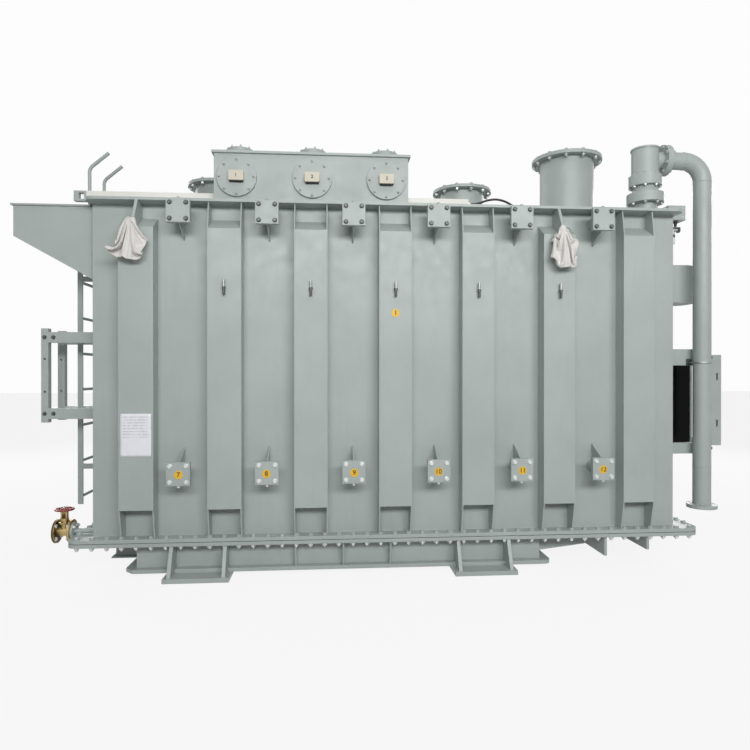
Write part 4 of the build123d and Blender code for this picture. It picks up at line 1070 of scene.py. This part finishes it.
def rag(name, hook, held, seed):
    """A square cloth caught on a lug's nose: held points are drawn in, and the rest is left to fall.

    Each held entry is a place on the flat sheet and where it goes to, from the hook.
    """
    pick = random.Random(seed)
    points = []
    pins = {}
    hook = Vector(hook)
    for row in range(RAG_CELLS + 1):
        for column in range(RAG_CELLS + 1):
            u = (column / RAG_CELLS - 0.5) * RAG
            v = (row / RAG_CELLS - 0.5) * RAG - RAG_HOOK
            away = math.hypot(u, v)
            ripple = 0.006 * math.sin(7 * math.atan2(v, u) + seed) * min(1.0, away / 0.06)
            points.append(hook + Vector((u, min(0.33 * abs(u), 0.062) + ripple, v)))
            for (flat_u, flat_v), goal in held:
                if math.hypot(u - flat_u, v - flat_v) < PIN_REACH:
                    pins[len(points) - 1] = Vector(goal) + Vector((u - flat_u, 0.0, v - flat_v)) * 0.6
    faces = grid_faces(RAG_CELLS, RAG_CELLS)
    piece = mesh_piece(name, points, faces, finishes["white_cloth"], smooth=True)
    layer = piece.data.uv_layers.new(name="cloth")
    for loop in piece.data.loops:
        row, column = divmod(loop.vertex_index, RAG_CELLS + 1)
        layer.data[loop.index].uv = (column / RAG_CELLS, row / RAG_CELLS)
    group = piece.vertex_groups.new(name="pinned")
    group.add(list(pins), 1.0, "REPLACE")
    piece.shape_key_add(name="flat")
    drawn = piece.shape_key_add(name="drawn")
    for index, goal in pins.items():
        drawn.data[index].co = hook + goal
    drawn.value = 0.0
    drawn.keyframe_insert("value", frame=1)
    drawn.value = 1.0
    drawn.keyframe_insert("value", frame=round(RAG_FRAMES * 0.6))
    cloth = piece.modifiers.new("cloth", "CLOTH")
    cloth.settings.quality = 7
    cloth.settings.mass = 0.3
    cloth.settings.tension_stiffness = 20
    cloth.settings.compression_stiffness = 15
    cloth.settings.bending_stiffness = 0.5 + 0.3 * pick.random()
    cloth.settings.vertex_group_mass = "pinned"
    cloth.collision_settings.distance_min = 0.003
    cloth.collision_settings.use_self_collision = True
    cloth.collision_settings.self_distance_min = 0.004
    cloth.point_cache.frame_start = 1
    cloth.point_cache.frame_end = RAG_FRAMES
    for step in range(1, RAG_FRAMES + 1):
        bpy.context.scene.frame_set(step)
    posed = piece.evaluated_get(bpy.context.evaluated_depsgraph_get())
    settled = [vertex.co.copy() for vertex in posed.data.vertices]
    piece.modifiers.remove(cloth)
    piece.shape_key_clear()
    piece.vertex_groups.clear()
    for vertex, place in zip(piece.data.vertices, settled):
        vertex.co = place
    bpy.context.scene.frame_set(1)
    thick = piece.modifiers.new("thickness", "SOLIDIFY")
    thick.thickness = 0.0016
    smooth_shape = piece.modifiers.new("smooth", "SUBSURF")
    smooth_shape.levels = 1
    smooth_shape.render_levels = 1
    return piece


colliders = lug_copy(["front_lugs", "front_rib_caps"])
first_rag = rag(
    "left_cloth",
    (LUG_RIBS[0] - 0.012, LUG_NOSE - 0.012, 2.475),
    (
        ((0.0, 0.0), (0.0, 0.0, 0.0)),
        ((-0.18, -0.26), (-0.165, 0.02, -0.19)),
        ((0.0, -0.26), (-0.045, -0.005, -0.25)),
        ((0.18, -0.26), (0.07, 0.04, -0.215)),
        ((0.18, -0.05), (0.095, 0.035, -0.14)),
        ((-0.18, 0.1), (-0.06, 0.065, -0.1)),
        ((0.18, 0.1), (0.05, 0.065, -0.07)),
    ),
    seed=3,
)
rag(
    "right_cloth",
    (LUG_RIBS[1] - 0.005, LUG_NOSE - 0.012, 2.455),
    (
        ((0.0, 0.0), (0.0, 0.0, 0.0)),
        ((-0.18, -0.26), (-0.05, 0.03, -0.2)),
        ((0.0, -0.26), (0.045, 0.0, -0.25)),
        ((0.18, -0.26), (0.1, 0.03, -0.2)),
        ((-0.18, -0.05), (-0.055, 0.03, -0.05)),
        ((0.18, -0.05), (0.105, 0.02, -0.07)),
        ((-0.18, 0.1), (-0.035, 0.06, -0.02)),
        ((0.18, 0.1), (0.05, 0.06, -0.03)),
    ),
    seed=11,
)
for collider in colliders:
    bpy.data.objects.remove(collider)
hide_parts("lug_wraps")


# Floor, light and camera: how white the floor and the world look to the rays that show the
# background, how much the world lights the object, and where the camera stands
FLOOR_SHARE = 0.88
WORLD_FILL = 0.09
BACKGROUND = 0.98
CAMERA_PLACE = (-0.476, -5.175, 1.436)
CAMERA_TILT = 89.824
CAMERA_TURN = -4.426
CAMERA_LENS = 28.8


def seen_rays(nodes_of_tree, link):
    """A value of 1 for rays that show the background: from the camera, in gloss or through glass."""
    path = nodes_of_tree.new("ShaderNodeLightPath")
    value = path.outputs["Is Camera Ray"]
    for name in ("Is Glossy Ray", "Is Transmission Ray"):
        either = nodes_of_tree.new("ShaderNodeMath")
        either.operation = "MAXIMUM"
        link(value, either.inputs[0])
        link(path.outputs[name], either.inputs[1])
        value = either.outputs[0]
    return value


def floor():
    """A wide pale floor, mostly white to the rays that show the background, with a soft shadow."""
    mesh = bpy.data.meshes.new("floor")
    reach = 40.0
    corners = [(-reach, -reach, 0), (reach, -reach, 0), (reach, reach, 0), (-reach, reach, 0)]
    mesh.from_pydata(corners, [], [(0, 1, 2, 3)])
    ground = bpy.data.objects.new("floor", mesh)
    bpy.context.scene.collection.objects.link(ground)
    made, shader, add, link = material("pale_floor")
    tone = noise(add, link, add("ShaderNodeTexCoord").outputs["Object"], 0.6, 2.0)
    grey = blend_colour(add, link, tone, (0.5, 0.5, 0.5), (0.54, 0.54, 0.54))
    link(grey, shader.inputs["Base Color"])
    shader.inputs["Roughness"].default_value = 0.9
    share = product(add, link, seen_rays(made.node_tree.nodes, link), FLOOR_SHARE)
    glow = add("ShaderNodeEmission", Strength=1.0)
    mixed = add("ShaderNodeMixShader")
    link(share, mixed.inputs[0])
    link(shader.outputs[0], mixed.inputs[1])
    link(glow.outputs[0], mixed.inputs[2])
    link(mixed.outputs[0], made.node_tree.nodes["Material Output"].inputs["Surface"])
    mesh.materials.append(made)


def lamp(name, place, target, size, energy):
    """A rectangular area light at place that points to target."""
    light = bpy.data.lights.new(name, "AREA")
    light.shape = "RECTANGLE"
    light.size, light.size_y = size
    light.energy = energy
    holder = bpy.data.objects.new(name, light)
    holder.location = place
    holder.rotation_euler = (Vector(target) - Vector(place)).to_track_quat("-Z", "Y").to_euler()
    bpy.context.scene.collection.objects.link(holder)


def light_the_scene():
    """A dim even fill that looks white behind the object, and four soft lamps."""
    world = bpy.data.worlds.new("studio")
    world.use_nodes = True
    tree = world.node_tree
    background = tree.nodes["Background"]
    strength = tree.nodes.new("ShaderNodeMapRange")
    strength.inputs["To Min"].default_value = WORLD_FILL
    strength.inputs["To Max"].default_value = BACKGROUND
    tree.links.new(seen_rays(tree.nodes, tree.links.new), strength.inputs["Value"])
    tree.links.new(strength.outputs["Result"], background.inputs["Strength"])
    background.inputs["Color"].default_value = (1, 1, 1, 1)
    bpy.context.scene.world = world
    lamp("overhead", (-0.5, -2.6, 6.5), (0, -0.6, 1.2), (7.0, 3.0), 55)
    lamp("front", (0.8, -8.5, 4.3), (0.4, 0, 1.0), (8.0, 1.5), 510)
    for side, word in ((-1, "rear_left"), (1, "rear_right")):
        lamp(word, (side * 6.5, 5.5, 4.0), (0, 0, 1.3), (5.0, 2.0), 300)


def place_camera():
    """The camera at the photograph's place, with its field of view."""
    camera = bpy.data.cameras.new("camera")
    camera.lens = CAMERA_LENS
    camera.sensor_width = 36.0
    holder = bpy.data.objects.new("camera", camera)
    holder.location = CAMERA_PLACE
    holder.rotation_euler = (math.radians(CAMERA_TILT), 0.0, math.radians(CAMERA_TURN))
    bpy.context.scene.collection.objects.link(holder)
    bpy.context.scene.camera = holder


floor()
light_the_scene()
place_camera()
bpy.context.scene.view_settings.view_transform = "Standard"
